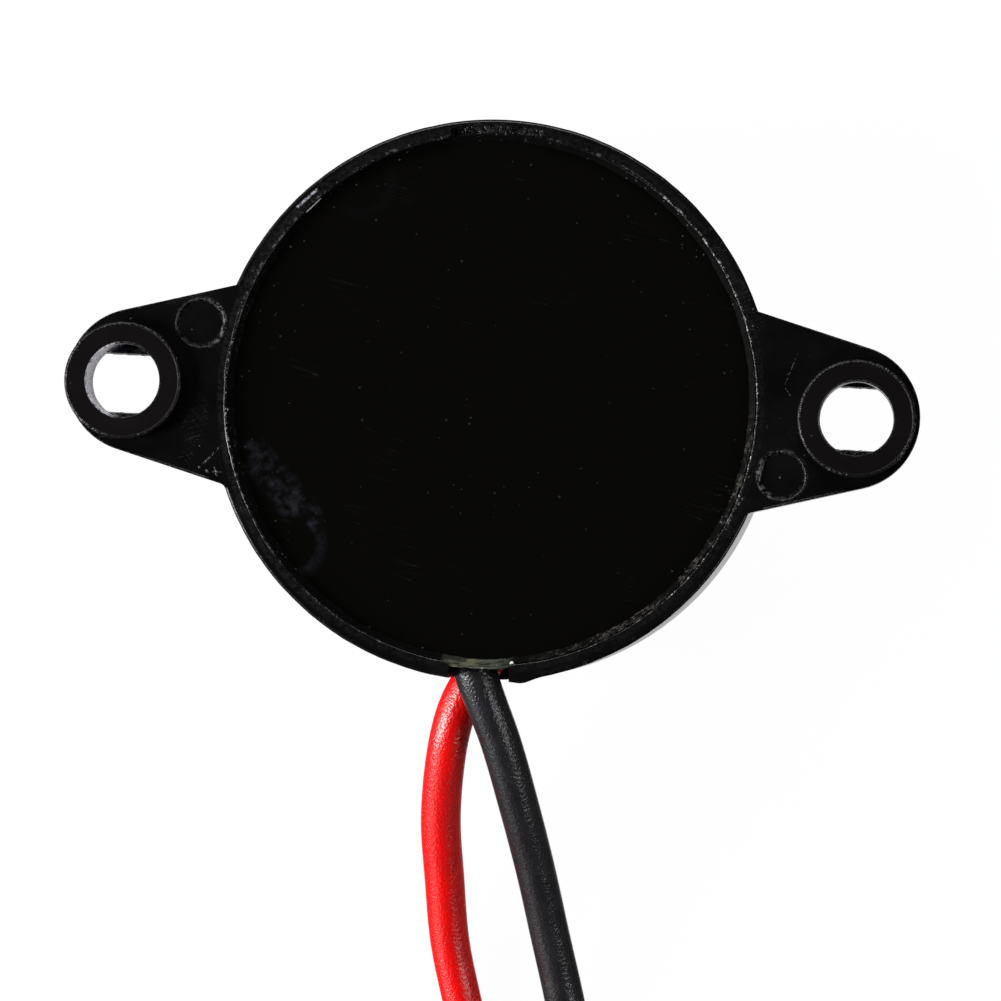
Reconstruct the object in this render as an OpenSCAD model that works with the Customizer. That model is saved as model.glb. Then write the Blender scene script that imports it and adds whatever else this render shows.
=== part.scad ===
// Piezo buzzer with two mounting ears and a pair of flying leads.
// It lies on its front face, with its closed rear face up. Lengths are in millimetres.
// +Z points out of the rear face, +X runs along the ears and the leads leave towards -Y.

/* [Body] */
// Outside diameter of the moulded cup
body_d = 22.8; // [19:0.1:27.4]
// Height from the front face to the rear rim
body_h = 11.2; // [9.3:0.1:13.5]
// Thickness of the rim round the board
rim_wall = 0.6; // [0.5:0.05:0.8]
// Thickness of the cup's side wall below the board
side_wall = 1.1; // [0.95:0.05:1.35]
// Thickness of the front wall
front_wall = 1.2; // [0.9:0.05:1.5]
// Radius of the front edge
front_edge_r = 1; // [0.4:0.1:1.4]
// Chamfer on both edges of the rim
rim_chamfer = 0.1; // [0.04:0.01:0.15]
// Diameter of the sound hole in the front wall
sound_hole_d = 3.4; // [2:0.1:5]
// Diameter of the shallow dish round the sound hole
dish_d = 8; // [6.5:0.1:10]
// Depth of that dish
dish_depth = 0.3; // [0.1:0.05:0.4]

/* [Ears] */
// Distance from the side of the cup to the centre of a screw hole
hole_reach = 3.6; // [3.6:0.1:7]
// Diameter of a screw hole
hole_d = 3; // [2.5:0.1:3.6]
// Thickness of an ear
ear_t = 1.7; // [1.4:0.05:2.2]
// Radius of an ear's rounded end
ear_end_r = 2.95; // [2.7:0.05:3.5]
// Distance from a screw hole to the tip of its ear
ear_margin = 2.56; // [2.5:0.01:3.2]
// Angle of each side of an ear to its centre line
ear_taper = 15.3; // [10:0.1:18]
// Radius of the fillet between ear and cup on the lead side
ear_fillet_r = 0.4; // [0.2:0.05:0.8]
// Outside diameter of the raised ring round a screw hole
boss_d = 4.8; // [4.3:0.05:5]
// Height of that ring above the ear
boss_h = 0.8; // [0.4:0.05:1.2]
// Distance across the two flats at the front end of a screw hole
flats_gap = 2.56; // [2.1:0.02:2.8]
// Height of those flats
flats_h = 0.5; // [0.3:0.05:0.9]
// Diameter of an ejector pin mark
pin_mark_d = 2; // [1.5:0.1:2.2]
// Depth of an ejector pin mark
pin_mark_depth = 0.12; // [0.05:0.01:0.3]

/* [Rear face] */
// How far the board lies below the rim
board_recess = 0.5; // [0.3:0.05:0.7]
// Thickness of the circuit board
board_t = 1; // [0.8:0.05:1.2]
// Gap between the board's edge and the rim
board_gap = 0.1; // [0.05:0.01:0.15]
// Width of the adhesive fillet on the board's rear face
seal_w = 0.15; // [0.08:0.01:0.3]
// Height of the adhesive up the rim
seal_h = 0.25; // [0.1:0.05:0.3]
// Width of the notch for the leads
notch_w = 2.9; // [2.8:0.05:3.6]
// Depth of that notch below the board
notch_depth = 3.5; // [3.4:0.05:4.2]
// Width of the pocket in the rim opposite the leads
pocket_w = 3.85; // [2:0.05:5]
// Width of the pocket across the rim
pocket_across = 0.4; // [0.2:0.02:0.45]
// Depth of the pocket
pocket_depth = 0.35; // [0.1:0.05:0.4]

/* [Piezo element] */
// Clearance between the brass plate's edge and the bore
plate_gap = 0.3; // [0.1:0.05:0.6]
// Thickness of the brass plate
plate_t = 0.2; // [0.1:0.01:0.3]
// Width of the ledge that carries the plate
ledge_w = 1.5; // [1:0.05:2]
// Depth of the sound chamber in front of the plate
chamber_depth = 2; // [1:0.1:2.4]
// Thickness of the silicone bond under the plate
bond_t = 0.15; // [0.08:0.01:0.3]
// Width of the bare brass ring round the ceramic disc
bare_ring_w = 3; // [2.2:0.1:3.6]
// Thickness of the ceramic disc
ceramic_t = 0.2; // [0.1:0.01:0.3]
// Width of the bare ceramic ring round the silvering
bare_edge_w = 0.6; // [0.3:0.05:1]
// Thickness of the silvering
electrode_t = 0.05; // [0.03:0.01:0.08]
// Width of the feedback tongue
tongue_w = 2.4; // [1.8:0.1:3]
// Length of the feedback tongue
tongue_l = 5; // [3.5:0.1:5.6]
// Bare gap round the feedback tongue
tongue_gap = 0.5; // [0.3:0.05:0.8]

/* [Circuit] */
// Thickness of the copper tracks
copper_t = 0.05; // [0.03:0.01:0.08]
// Width of a track
track_w = 0.5; // [0.35:0.05:0.6]
// Length of a chip resistor
chip_l = 2; // [1.8:0.05:2.4]
// Width of a chip resistor
chip_w = 1.25; // [1:0.05:1.4]
// Height of a chip resistor over its end caps
chip_h = 0.55; // [0.45:0.01:0.65]
// Length of the transistor's body
transistor_l = 2.9; // [2.6:0.05:3.1]
// Width of the transistor's body
transistor_w = 1.3; // [1.1:0.05:1.5]
// Height of the transistor above the copper
transistor_h = 1; // [0.85:0.05:1.1]

/* [Leads] */
// Diameter of a lead over its insulation
lead_d = 1.6; // [1.4:0.05:1.65]
// Diameter of a lead's stranded conductor
core_d = 0.76; // [0.5:0.02:0.8]
// Length of the tinned end of a lead
tip_l = 5; // [3:0.5:8]
// Diameter of the fine wires to the piezo element
wire_d = 0.5; // [0.3:0.02:0.6]

/* [Hidden] */
$fn = 96;
eps = 0.01;
cord_sides = 8;

body_r = body_d / 2;
seat_r = body_r - rim_wall;
bore_r = body_r - side_wall;
boss_z = body_h + boss_h;
ear_z = body_h - ear_t;
hole_x = body_r + hole_reach;
ear_end_x = hole_x + ear_margin - ear_end_r;
ear_root_x = body_r - 3;

// Levels from the front wall up: chamber, ledge, piezo element, board.
ledge_z = front_wall + chamber_depth;
plate_z = ledge_z + bond_t;
ceramic_z = plate_z + plate_t;
silver_z = ceramic_z + ceramic_t;
element_top = silver_z + electrode_t;
board_top = body_h - board_recess;
board_z = board_top - board_t;
copper_z = board_z - copper_t;
board_r = seat_r - board_gap;
plate_r = bore_r - plate_gap;
ceramic_r = plate_r - bare_ring_w;
electrode_r = ceramic_r - bare_edge_w;

// Ejector pin marks, one on each ear, on opposite sides of the centre line.
pin_marks = [[-body_r - 0.6, 2.45], [body_r + 0.6, -2.45]];
// The pocket in the rim is a little off centre.
pocket_x = -0.3;

// Places on the board's inner face, seen from the rear.
transistor_at = [-0.5, 1];
leg_pitch = 0.95;
leg_reach = 1.2;
base_at = transistor_at + [leg_pitch, -leg_reach + 0.15];
emitter_at = transistor_at + [-leg_pitch, -leg_reach + 0.15];
collector_at = transistor_at + [0, leg_reach - 0.15];
chip_end = chip_l / 2;
chip_pad_in = 0.35;
chip_pad_out = 0.45;
leg_pad_l = 0.9;
leg_pad_w = 0.6;
bias_at = [3, -0.6];
load_at = [5.9, -1.6];
feedback_at = [1.9, 2.3];
black_pad = [-1.1, -4.5];
red_pad = [1.5, -3.5];
drive_pad = [6.2, 2.6];
feedback_pad = [-3.6, 4.6];
ground_pad = [-5.6, -3.2];
pad_r = 1;

// Where the fine wires are soldered on the piezo element.
tongue_angle = 125;
drive_angle = 37;
plate_angle = 225;
dot_r = 0.8;
dot_h = 0.5;
drive_dot = (electrode_r - dot_r - 0.6) * [cos(drive_angle), sin(drive_angle)];
feedback_dot = (electrode_r - tongue_l / 2 + 0.4) * [cos(tongue_angle), sin(tongue_angle)];
plate_dot = (plate_r + ceramic_r) / 2 * [cos(plate_angle), sin(plate_angle)];

// Lap joints of the two leads: the core lies along the copper under a mound of solder.
core_lap_z = copper_z - core_d / 2 - 0.03;
lap_l = 1.4;

// Routes of the leads, from the stripped end inside the cup, through the notch and down to the coil.
// They end side by side at the coil, and the red one passes under the black one just outside the notch.
red_route = [
    [1.2, -8, 7.1], [0.7, -9.6, 7.1], [-0.1, -11.1, 7.1], [-0.8, -12.4, 6.95], [-1.2, -13.9, 6.7], [-1.5, -17.2, 4.9],
    [-1.3, -20, 3.2], [-1, -22.7, 1.9], [-0.4, -25.2, 1.1], [0.4, -28, 0.8], [1.7, -31.2, 0.8],
    [3, -34.2, 0.8], [3.6, -36.4, 0.8], [3.6, -37.4, 0.8],
];
black_route = [
    [-1, -8.2, 8.8], [-0.15, -11.2, 8.8], [0.95, -13.9, 8.3], [1.7, -16.6, 6.9], [2.5, -19.4, 5],
    [3.2, -22.1, 3.3], [3.9, -24.7, 1.9], [4.7, -28, 0.9], [5.2, -31.2, 0.8], [5.4, -34.2, 0.8],
    [5.2, -36.6, 0.8], [5.2, -37.4, 0.8],
];
// The coil lies on the surface beyond the notch. Its turns go clockwise, seen from above, and start
// at angle 0, where the leads come in.
black_turn_r = 9.6;
red_turn_r = 8;
coil_at = [black_route[len(black_route) - 1][0] - black_turn_r, black_route[len(black_route) - 1][1]];
coil_inner_r = red_turn_r - lead_d / 2;
coil_split_r = (red_turn_r + black_turn_r) / 2;
coil_outer_r = black_turn_r + lead_d / 2;
// Angles of the second layer: where it starts, and where each lead ends.
climb_angle = 40;
climb_lap = 15;
black_end_angle = -60;
red_end_angle = -140;
tie_angle = -20;
tie_w = 2.4;
tie_t = 0.35;
tie_slack = 0.1;
tie_head = [1.5, 3, 2.6];

// ---------- helpers ----------

function unit(v) = v / norm(v);

// Direction of a route at its point i.
function heading(route, i) =
    unit(route[min(i + 1, len(route) - 1)] - route[max(i - 1, 0)]);

// One ring of a tube: points round the route's point i, square to its direction, with a flat side down.
function ring(route, i, r, aside) =
    let (t = heading(route, i), u = unit(cross(t, aside)), v = cross(t, u))
    [for (k = [0:cord_sides - 1])
        let (a = 360 * (k + 0.5) / cord_sides) route[i] + r * (cos(a) * u + sin(a) * v)];

// A tube of radius r along a route. aside is any direction that the route never takes.
module tube(route, r, aside = [0, 0, 1]) {
    n = cord_sides;
    last = len(route) - 1;
    points = [for (i = [0:last]) each ring(route, i, r, aside)];
    walls = [for (i = [0:last - 1], k = [0:n - 1])
        [i * n + k, i * n + (k + 1) % n, (i + 1) * n + (k + 1) % n, (i + 1) * n + k]];
    ends = [[for (k = [n - 1:-1:0]) k], [for (k = [0:n - 1]) last * n + k]];
    polyhedron(points, concat(walls, ends), convexity = 4);
}

// Children stand on the copper of the board's inner face, with their own +Z towards the front.
module on_copper(at, turn = 0) {
    translate([at[0], at[1], copper_z]) rotate([180, 0, 0]) rotate(-turn) children();
}

// Children in a frame on the coil's centre line: X outwards, Y along the turn.
module on_coil(angle) {
    translate([coil_at[0], coil_at[1], 0]) rotate(angle) children();
}

// ---------- cup ----------

// Outline of one ear, with its centre line on X.
module ear_outline() {
    tangent = [ear_end_x + ear_end_r * sin(ear_taper), ear_end_r * cos(ear_taper)];
    root_y = (ear_end_r + (ear_end_x - ear_root_x) * sin(ear_taper)) / cos(ear_taper);
    translate([ear_end_x, 0]) circle(ear_end_r);
    polygon([[ear_root_x, -root_y], [tangent[0], -tangent[1]], tangent, [ear_root_x, root_y]]);
}

// The concave fillet where an ear's lower side meets the cup.
module ear_fillet() {
    across = [sin(ear_taper), -cos(ear_taper)];
    along = [cos(ear_taper), sin(ear_taper)];
    // the fillet's circle dips a little into the ear and the cup, so it crosses both at a clear angle
    reach = ear_fillet_r * 0.985;
    off_axis = ear_end_x * sin(ear_taper) + ear_end_r + reach;
    centre = off_axis * across + sqrt(pow(body_r + reach, 2) - pow(off_axis, 2)) * along;
    on_side = centre - reach * across;
    on_cup = centre * body_r / (body_r + reach);
    difference() {
        polygon([on_cup * 0.97, centre * 0.95 - 2 * ear_fillet_r * across, on_side, centre, on_cup]);
        translate(centre) circle(ear_fillet_r);
    }
}

// Raised ring round a screw hole, with a broken edge.
module boss() {
    edge = 0.12;
    translate([0, 0, body_h - eps]) cylinder(h = boss_h + eps - edge, d = boss_d);
    translate([0, 0, boss_z - edge]) cylinder(h = edge, d1 = boss_d, d2 = boss_d - 2 * edge);
}

// Screw hole: round from the rear, with two flats at its front end.
module screw_hole() {
    translate([0, 0, ear_z + flats_h]) cylinder(h = boss_z - ear_z, d = hole_d);
    intersection() {
        translate([0, 0, ear_z - 1]) cylinder(h = flats_h + 1 + eps, d = hole_d);
        translate([-hole_d, -flats_gap / 2, ear_z - 2]) cube([2 * hole_d, flats_gap, flats_h + 3]);
    }
}

// Section of the solid cup, before it is hollowed.
module cup_outline() {
    square([body_r - front_edge_r, body_h]);
    translate([0, front_edge_r]) square([body_r, body_h - front_edge_r - rim_chamfer]);
    intersection() {
        translate([body_r - front_edge_r, front_edge_r]) circle(front_edge_r);
        square([body_r, front_edge_r]);
    }
    polygon([
        [0, body_h - rim_chamfer], [body_r, body_h - rim_chamfer], [body_r - rim_chamfer, body_h], [0, body_h],
    ]);
}

// Section of the hollow: sound hole, chamber, bore, board seat and the rim's inner chamfer.
module hollow_outline() {
    translate([0, -1]) square([dish_d / 2, 1 + dish_depth]);
    translate([0, -1]) square([sound_hole_d / 2, front_wall + 2]);
    translate([0, front_wall]) square([bore_r - ledge_w, chamber_depth + eps]);
    translate([0, ledge_z]) square([bore_r, board_z - ledge_z + eps]);
    translate([0, board_z]) square([seat_r, body_h - board_z + 1]);
    polygon([
        [0, body_h - rim_chamfer], [seat_r, body_h - rim_chamfer], [seat_r + rim_chamfer, body_h],
        [seat_r + rim_chamfer, body_h + 1], [0, body_h + 1],
    ]);
}

module rim_pocket() {
    intersection() {
        translate([0, 0, body_h - pocket_depth]) cylinder(h = 1, r = seat_r + pocket_across);
        translate([pocket_x - pocket_w / 2, 0, body_h - pocket_depth]) cube([pocket_w, body_r + 1, 1]);
    }
}

module lead_notch() {
    translate([-notch_w / 2, -body_r - 1, board_z - notch_depth])
        cube([notch_w, 1 + side_wall + 0.5, notch_depth + board_t + board_recess + 1]);
}

module housing() {
    color([0.035, 0.034, 0.036]) difference() {
        union() {
            rotate_extrude() cup_outline();
            for (side = [0, 1]) mirror([side, 0, 0]) {
                translate([0, 0, ear_z]) linear_extrude(ear_t) ear_outline();
                translate([0, 0, ear_z]) linear_extrude(ear_t) ear_fillet();
                translate([hole_x, 0, 0]) boss();
            }
        }
        rotate_extrude() hollow_outline();
        for (x = [-hole_x, hole_x]) translate([x, 0, 0]) screw_hole();
        for (at = pin_marks) translate([at[0], at[1], body_h - pin_mark_depth]) cylinder(h = 1, d = pin_mark_d);
        rim_pocket();
        lead_notch();
    }
}

// ---------- board and circuit ----------

module circuit_board() {
    color([0.03, 0.03, 0.035]) translate([0, 0, board_z]) cylinder(h = board_t, r = board_r);
}

// Adhesive between the board's edge and the rim, with a small fillet on the rear face.
module board_sealant() {
    color([0.62, 0.64, 0.5]) rotate_extrude() polygon([
        [board_r, board_z], [seat_r, board_z], [seat_r, board_top + seal_h],
        [board_r - seal_w, board_top], [board_r, board_top],
    ]);
    // It bulges a little into the notch, over the leads.
    color([0.62, 0.64, 0.5]) intersection() {
        translate([0, 0, board_top - 0.75]) difference() {
            cylinder(h = 0.75 + seal_h, r = seat_r + 0.15);
            translate([0, 0, -1]) cylinder(h = 3, r = seat_r - 0.05);
        }
        translate([-notch_w / 2 + 0.05, -body_r, board_z]) cube([notch_w - 0.1, side_wall, 2]);
    }
}

module pad(at, r) {
    translate([at[0], at[1], copper_z]) cylinder(h = copper_t, r = r, $fn = 32);
}

// A straight track between two places.
module track(a, b) {
    run = b - a;
    translate([a[0], a[1], copper_z]) rotate(atan2(run[1], run[0]))
        translate([0, -track_w / 2, 0]) cube([norm(run), track_w, copper_t]);
}

// A track through several places, rounded at each.
module track_through(places) {
    for (i = [0:len(places) - 2]) track(places[i], places[i + 1]);
    for (at = places) pad(at, track_w / 2);
}

// The pair of pads under a chip resistor's ends.
module chip_pads(at, turn = 0) {
    for (flip = [0, 180]) on_copper(at, turn + flip)
        translate([chip_end - chip_pad_in, -chip_w / 2, -copper_t]) cube([chip_pad_in + chip_pad_out, chip_w, copper_t]);
}

// The pad under one of the transistor's feet.
module leg_pad(at) {
    translate([at[0] - leg_pad_w / 2, at[1] - leg_pad_l / 2, copper_z]) cube([leg_pad_w, leg_pad_l, copper_t]);
}

module copper_tracks() {
    corner = [bias_at[0] + chip_end, red_pad[1] + 0.9];
    color([0.72, 0.4, 0.2]) {
        track_through([emitter_at, black_pad, ground_pad]);
        track_through([base_at, bias_at - [chip_end, 0], feedback_at - [0, chip_end]]);
        track_through([red_pad, corner, bias_at + [chip_end, 0]]);
        track_through([corner, load_at - [0, chip_end]]);
        track_through([load_at + [0, chip_end], drive_pad, collector_at]);
        track_through([feedback_at + [0, chip_end], feedback_pad]);
        for (at = [black_pad, red_pad, drive_pad, feedback_pad, ground_pad]) pad(at, pad_r);
        for (at = [base_at, emitter_at, collector_at]) leg_pad(at);
        chip_pads(bias_at);
        chip_pads(load_at, 90);
        chip_pads(feedback_at, 90);
    }
}

// Moulded body of the transistor, with sloping sides above and below its parting line.
module transistor_body() {
    stand_off = 0.1;
    slope = 0.08;
    half = (transistor_h - stand_off) / 2;
    section = [
        [-transistor_w / 2 + slope, 0], [transistor_w / 2 - slope, 0], [transistor_w / 2, half],
        [transistor_w / 2 - slope, 2 * half], [-transistor_w / 2 + slope, 2 * half], [-transistor_w / 2, half],
    ];
    color([0.05, 0.05, 0.05]) on_copper(transistor_at)
        translate([-transistor_l / 2, 0, stand_off])
        rotate([90, 0, 90]) linear_extrude(transistor_l) polygon(section);
}

// One gull-wing leg that leaves the body along +Y.
module gull_leg() {
    t = 0.12;
    w = 0.42;
    y0 = transistor_w / 2;
    mid = 0.1 + (transistor_h - 0.1) / 2;
    knee = y0 + 0.25;
    translate([-w / 2, 0, 0]) rotate([90, 0, 90]) linear_extrude(w) polygon([
        [y0, mid - t / 2], [knee - t, mid - t / 2], [knee - t, 0], [leg_reach, 0], [leg_reach, t],
        [knee, t], [knee, mid + t / 2], [y0, mid + t / 2],
    ]);
}

module transistor_legs() {
    color([0.75, 0.75, 0.72]) {
        on_copper(transistor_at, 180) gull_leg();
        for (x = [-leg_pitch, leg_pitch]) on_copper(transistor_at + [x, 0]) gull_leg();
    }
}

cap_l = 0.38;
cap_t = 0.05;

// Ceramic block of a chip resistor.
module chip_block() {
    translate([-chip_l / 2 + cap_t, -chip_w / 2, cap_t])
        cube([chip_l - 2 * cap_t, chip_w, chip_h - 2 * cap_t]);
}

// The plated cap that wraps each end of the block.
module chip_caps() {
    difference() {
        union() {
            for (x = [-chip_l / 2, chip_l / 2 - cap_l]) translate([x, -chip_w / 2, 0]) cube([cap_l, chip_w, chip_h]);
        }
        translate([-chip_l / 2 + cap_t, -chip_w, cap_t])
            cube([chip_l - 2 * cap_t, 2 * chip_w, chip_h - 2 * cap_t]);
    }
}

module bias_resistor() { color([0.08, 0.08, 0.09]) on_copper(bias_at) chip_block(); }
module load_resistor() { color([0.08, 0.08, 0.09]) on_copper(load_at, 90) chip_block(); }
module feedback_resistor() { color([0.08, 0.08, 0.09]) on_copper(feedback_at, 90) chip_block(); }

module resistor_end_caps() {
    color([0.78, 0.78, 0.76]) {
        on_copper(bias_at) chip_caps();
        for (at = [load_at, feedback_at]) on_copper(at, 90) chip_caps();
    }
}

// Wedge of solder against a plated end, with its foot along +X.
module solder_wedge(w) {
    translate([0, w / 2, 0]) rotate([90, 0, 0]) linear_extrude(w) polygon([[0, 0], [0.35, 0], [0, 0.35]]);
}

// Cone of solder that a fine wire ends in.
module solder_dot() {
    cylinder(h = dot_h, r1 = dot_r, r2 = wire_d / 2 + 0.05, $fn = 32);
}

// Mound of solder round a lead's core, which lies in it along Y.
module solder_lap() {
    depth = copper_z - core_lap_z;
    rotate([90, 0, 0]) difference() {
        intersection() {
            cylinder(h = lap_l, r = core_d / 2 + 0.55, center = true, $fn = 48);
            translate([-2, 0, -lap_l]) cube([4, 2, 2 * lap_l]);
        }
        translate([0, depth, 0]) cylinder(h = 2 * lap_l, r = core_d / 2 + 0.01, center = true, $fn = 48);
    }
}

module board_solder() {
    wedge_w = chip_w - 0.2;
    color([0.72, 0.72, 0.7]) {
        for (chip = [[bias_at, 0], [load_at, 90], [feedback_at, 90]], flip = [0, 180])
            on_copper(chip[0], chip[1] + flip) translate([chip_l / 2, 0, 0]) solder_wedge(wedge_w);
        on_copper(collector_at, 90) translate([0.15, 0, 0]) solder_wedge(0.4);
        for (at = [base_at, emitter_at]) on_copper(at, -90) translate([0.15, 0, 0]) solder_wedge(0.4);
        for (at = [drive_pad, feedback_pad, ground_pad]) on_copper(at) solder_dot();
        for (at = [black_pad, red_pad]) on_copper(at) solder_lap();
    }
}

// ---------- piezo element ----------

module piezo_bond() {
    color([0.85, 0.85, 0.82]) translate([0, 0, ledge_z]) difference() {
        cylinder(h = bond_t, r = plate_r);
        translate([0, 0, -1]) cylinder(h = bond_t + 2, r = bore_r - ledge_w + 0.1);
    }
}

module piezo_plate() {
    color([0.78, 0.62, 0.28]) translate([0, 0, plate_z]) cylinder(h = plate_t, r = plate_r);
}

module piezo_ceramic() {
    color([0.86, 0.84, 0.78]) translate([0, 0, ceramic_z]) cylinder(h = ceramic_t, r = ceramic_r);
}

// The feedback tongue, or the bare gap round it when it is grown by more.
module tongue(grown = 0) {
    rotate(tongue_angle) {
        reach = electrode_r - tongue_l + tongue_w / 2;
        translate([reach, 0, -grown]) cylinder(h = electrode_t + 2 * grown, r = tongue_w / 2 + grown);
        translate([reach, -tongue_w / 2 - grown, -grown])
            cube([2 * electrode_r, tongue_w + 2 * grown, electrode_t + 2 * grown]);
    }
}

module drive_electrode() {
    color([0.8, 0.8, 0.78]) translate([0, 0, silver_z]) difference() {
        cylinder(h = electrode_t, r = electrode_r);
        tongue(tongue_gap);
    }
}

module feedback_electrode() {
    color([0.8, 0.8, 0.78]) translate([0, 0, silver_z]) intersection() {
        cylinder(h = electrode_t, r = electrode_r);
        tongue();
    }
}

module piezo_solder() {
    color([0.72, 0.72, 0.7]) {
        for (at = [drive_dot, feedback_dot]) translate([at[0], at[1], element_top]) solder_dot();
        translate([plate_dot[0], plate_dot[1], ceramic_z]) solder_dot();
    }
}

// A fine wire from a solder dot on the element to one on the board, bowed out by slack.
module fine_wire(from, from_z, to, slack) {
    low = [from[0], from[1], from_z + dot_h];
    high = [to[0], to[1], copper_z - dot_h];
    rise = [0, 0, (high[2] - low[2]) / 5];
    bow = [slack[0], slack[1], 0];
    across = high - low - 5 * rise;
    tube([low, low + rise * 0.8, low + 1.7 * rise + 0.6 * bow + 0.2 * across, low + 2.5 * rise + bow + 0.5 * across,
        low + 3.3 * rise + 0.6 * bow + 0.8 * across, high - rise * 0.8, high], wire_d / 2, unit([slack[1], -slack[0], 0]));
}

module plate_wire() {
    color([0.05, 0.05, 0.05]) fine_wire(plate_dot, ceramic_z, ground_pad, [-0.9, 0.3]);
}

module drive_wire() {
    color([0.7, 0.08, 0.06]) fine_wire(drive_dot, element_top, drive_pad, [0.3, 1.2]);
}

module feedback_wire() {
    color([0.1, 0.22, 0.6]) fine_wire(feedback_dot, element_top, feedback_pad, [-1.1, 0.5]);
}

// ---------- leads ----------

// The bare core of a lead, from the end of its insulation to its lap joint on the board.
module core(lead_route, pad_at) {
    start = lead_route[0];
    out = start + 0.5 * unit(start - lead_route[1]);
    lap = [pad_at[0], pad_at[1], core_lap_z];
    near = lap - [0, lap_l / 2 + 0.3, 0];
    climb = near - out;
    tube([start, out, out + [climb[0] * 0.3, climb[1] * 0.3, climb[2] * 0.2], out + [climb[0] * 0.7, climb[1] * 0.7, climb[2] * 0.8],
        near, lap + [0, lap_l / 2 + 0.15, 0]], core_d / 2);
}

module red_core() { color([0.78, 0.78, 0.76]) core(red_route, red_pad); }
module black_core() { color([0.78, 0.78, 0.76]) core(black_route, black_pad); }
module red_lead() { color([0.86, 0.03, 0.03]) tube(red_route, lead_d / 2); }
module black_lead() { color([0.04, 0.04, 0.045]) tube(black_route, lead_d / 2); }

// A flat strip of the coil's outer shape between two radii and two angles.
module turn_strip(in_r, out_r, from_angle, to_angle, z, h) {
    reach = 2 * out_r;
    steps = ceil((to_angle - from_angle) / 60);
    step = (to_angle - from_angle) / steps;
    sector = concat([[0, 0]], [for (i = [0:steps]) let (a = from_angle + i * step) [reach * cos(a), reach * sin(a)]]);
    translate([0, 0, z]) intersection() {
        difference() {
            cylinder(h = h, r = out_r);
            translate([0, 0, -1]) cylinder(h = h + 2, r = in_r);
        }
        linear_extrude(h) polygon(sector);
    }
}

// Outer shape of the coil: a first layer from the leads' entry almost all round, and a second layer
// on it up to each lead's end. It is lifted clear of the tie where the strap passes underneath.
module lead_coil() {
    color([0.5, 0.03, 0.03]) difference() {
        on_coil(0) {
            turn_strip(coil_inner_r, coil_outer_r, climb_angle, 360, 0, lead_d);
            turn_strip(coil_inner_r, coil_outer_r, black_end_angle, climb_angle + climb_lap, lead_d, lead_d);
            turn_strip(coil_inner_r, coil_split_r, red_end_angle, black_end_angle + climb_lap, lead_d, lead_d);
        }
        on_coil(tie_angle) translate([coil_inner_r - 1, -tie_w / 2 - 0.3, -1])
            cube([coil_outer_r - coil_inner_r + 2, tie_w + 0.6, 1 + tie_t + 0.05]);
    }
}

// Cable tie round all four strands, with its head on the outside of the coil.
module coil_tie() {
    in_r = coil_inner_r - tie_slack - 0.05;
    wide = coil_outer_r - coil_inner_r + 2 * tie_slack + 0.05;
    tall = 2 * lead_d + tie_t;
    color([0.08, 0.08, 0.08]) on_coil(tie_angle) difference() {
        union() {
            translate([in_r - tie_t, -tie_w / 2, 0]) cube([wide + 2 * tie_t, tie_w, tall + 2 * tie_t]);
            translate([in_r + wide, -tie_head[1] / 2, 0.4]) cube(tie_head);
        }
        translate([in_r, -tie_w, tie_t]) cube([wide, 2 * tie_w, tall]);
    }
}

// Tinned end of a lead, which goes straight on from the end of its turn.
module tip(turn_r, angle) {
    on_coil(angle) translate([turn_r, 0, 1.5 * lead_d]) rotate([90, 0, 0]) cylinder(h = tip_l, d = core_d, $fn = 32);
}

module red_tip() { color([0.8, 0.8, 0.78]) tip(red_turn_r, red_end_angle); }
module black_tip() { color([0.8, 0.8, 0.78]) tip(black_turn_r, black_end_angle); }

housing();
circuit_board();
board_sealant();
copper_tracks();
transistor_body();
transistor_legs();
bias_resistor();
load_resistor();
feedback_resistor();
resistor_end_caps();
board_solder();
piezo_bond();
piezo_plate();
piezo_ceramic();
drive_electrode();
feedback_electrode();
piezo_solder();
plate_wire();
drive_wire();
feedback_wire();
red_core();
black_core();
red_lead();
black_lead();
lead_coil();
coil_tie();
red_tip();
black_tip();
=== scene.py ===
"""Looks of a piezo buzzer with two mounting ears and a pair of flying leads.

The buzzer lies on its front face with its board side up. Sizes are in millimetres and become metres
when a mesh is made. Each sub-assembly is a class that holds its sizes, builds its meshes and dresses
them, and each finish is a frozen dataclass.
"""

from __future__ import annotations

import logging
import math
from dataclasses import dataclass, field
from enum import Enum
from typing import Callable, ClassVar, Mapping, Sequence, Union

import bmesh
import bpy
import numpy as np
from mathutils import Matrix, Vector
from mathutils.geometry import tessellate_polygon

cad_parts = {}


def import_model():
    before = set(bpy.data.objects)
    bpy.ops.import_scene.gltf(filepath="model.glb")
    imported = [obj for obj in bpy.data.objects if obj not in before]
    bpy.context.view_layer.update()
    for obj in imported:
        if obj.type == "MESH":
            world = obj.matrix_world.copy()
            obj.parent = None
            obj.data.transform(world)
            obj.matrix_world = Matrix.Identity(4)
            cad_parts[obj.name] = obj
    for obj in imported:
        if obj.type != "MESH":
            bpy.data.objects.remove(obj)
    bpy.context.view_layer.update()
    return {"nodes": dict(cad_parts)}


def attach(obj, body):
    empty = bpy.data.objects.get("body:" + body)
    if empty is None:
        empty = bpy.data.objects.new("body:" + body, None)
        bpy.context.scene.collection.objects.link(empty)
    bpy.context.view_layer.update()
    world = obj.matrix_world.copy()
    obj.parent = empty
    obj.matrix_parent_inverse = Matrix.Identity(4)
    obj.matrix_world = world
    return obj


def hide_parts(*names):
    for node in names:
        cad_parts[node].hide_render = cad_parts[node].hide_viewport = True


log = logging.getLogger("buzzer")

MM = 0.001
ROOT = "root"
EDGE_MARK = "outer_edge"
Point2 = tuple[float, float]
Point3 = tuple[float, float, float]
Colour = tuple[float, float, float]
Stroke = tuple[Point2, Point2, float]
Line = Sequence[Sequence[float]]
SocketValue = Union["Signal", float, Sequence[float]]


# ---- Shader maths ----


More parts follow.
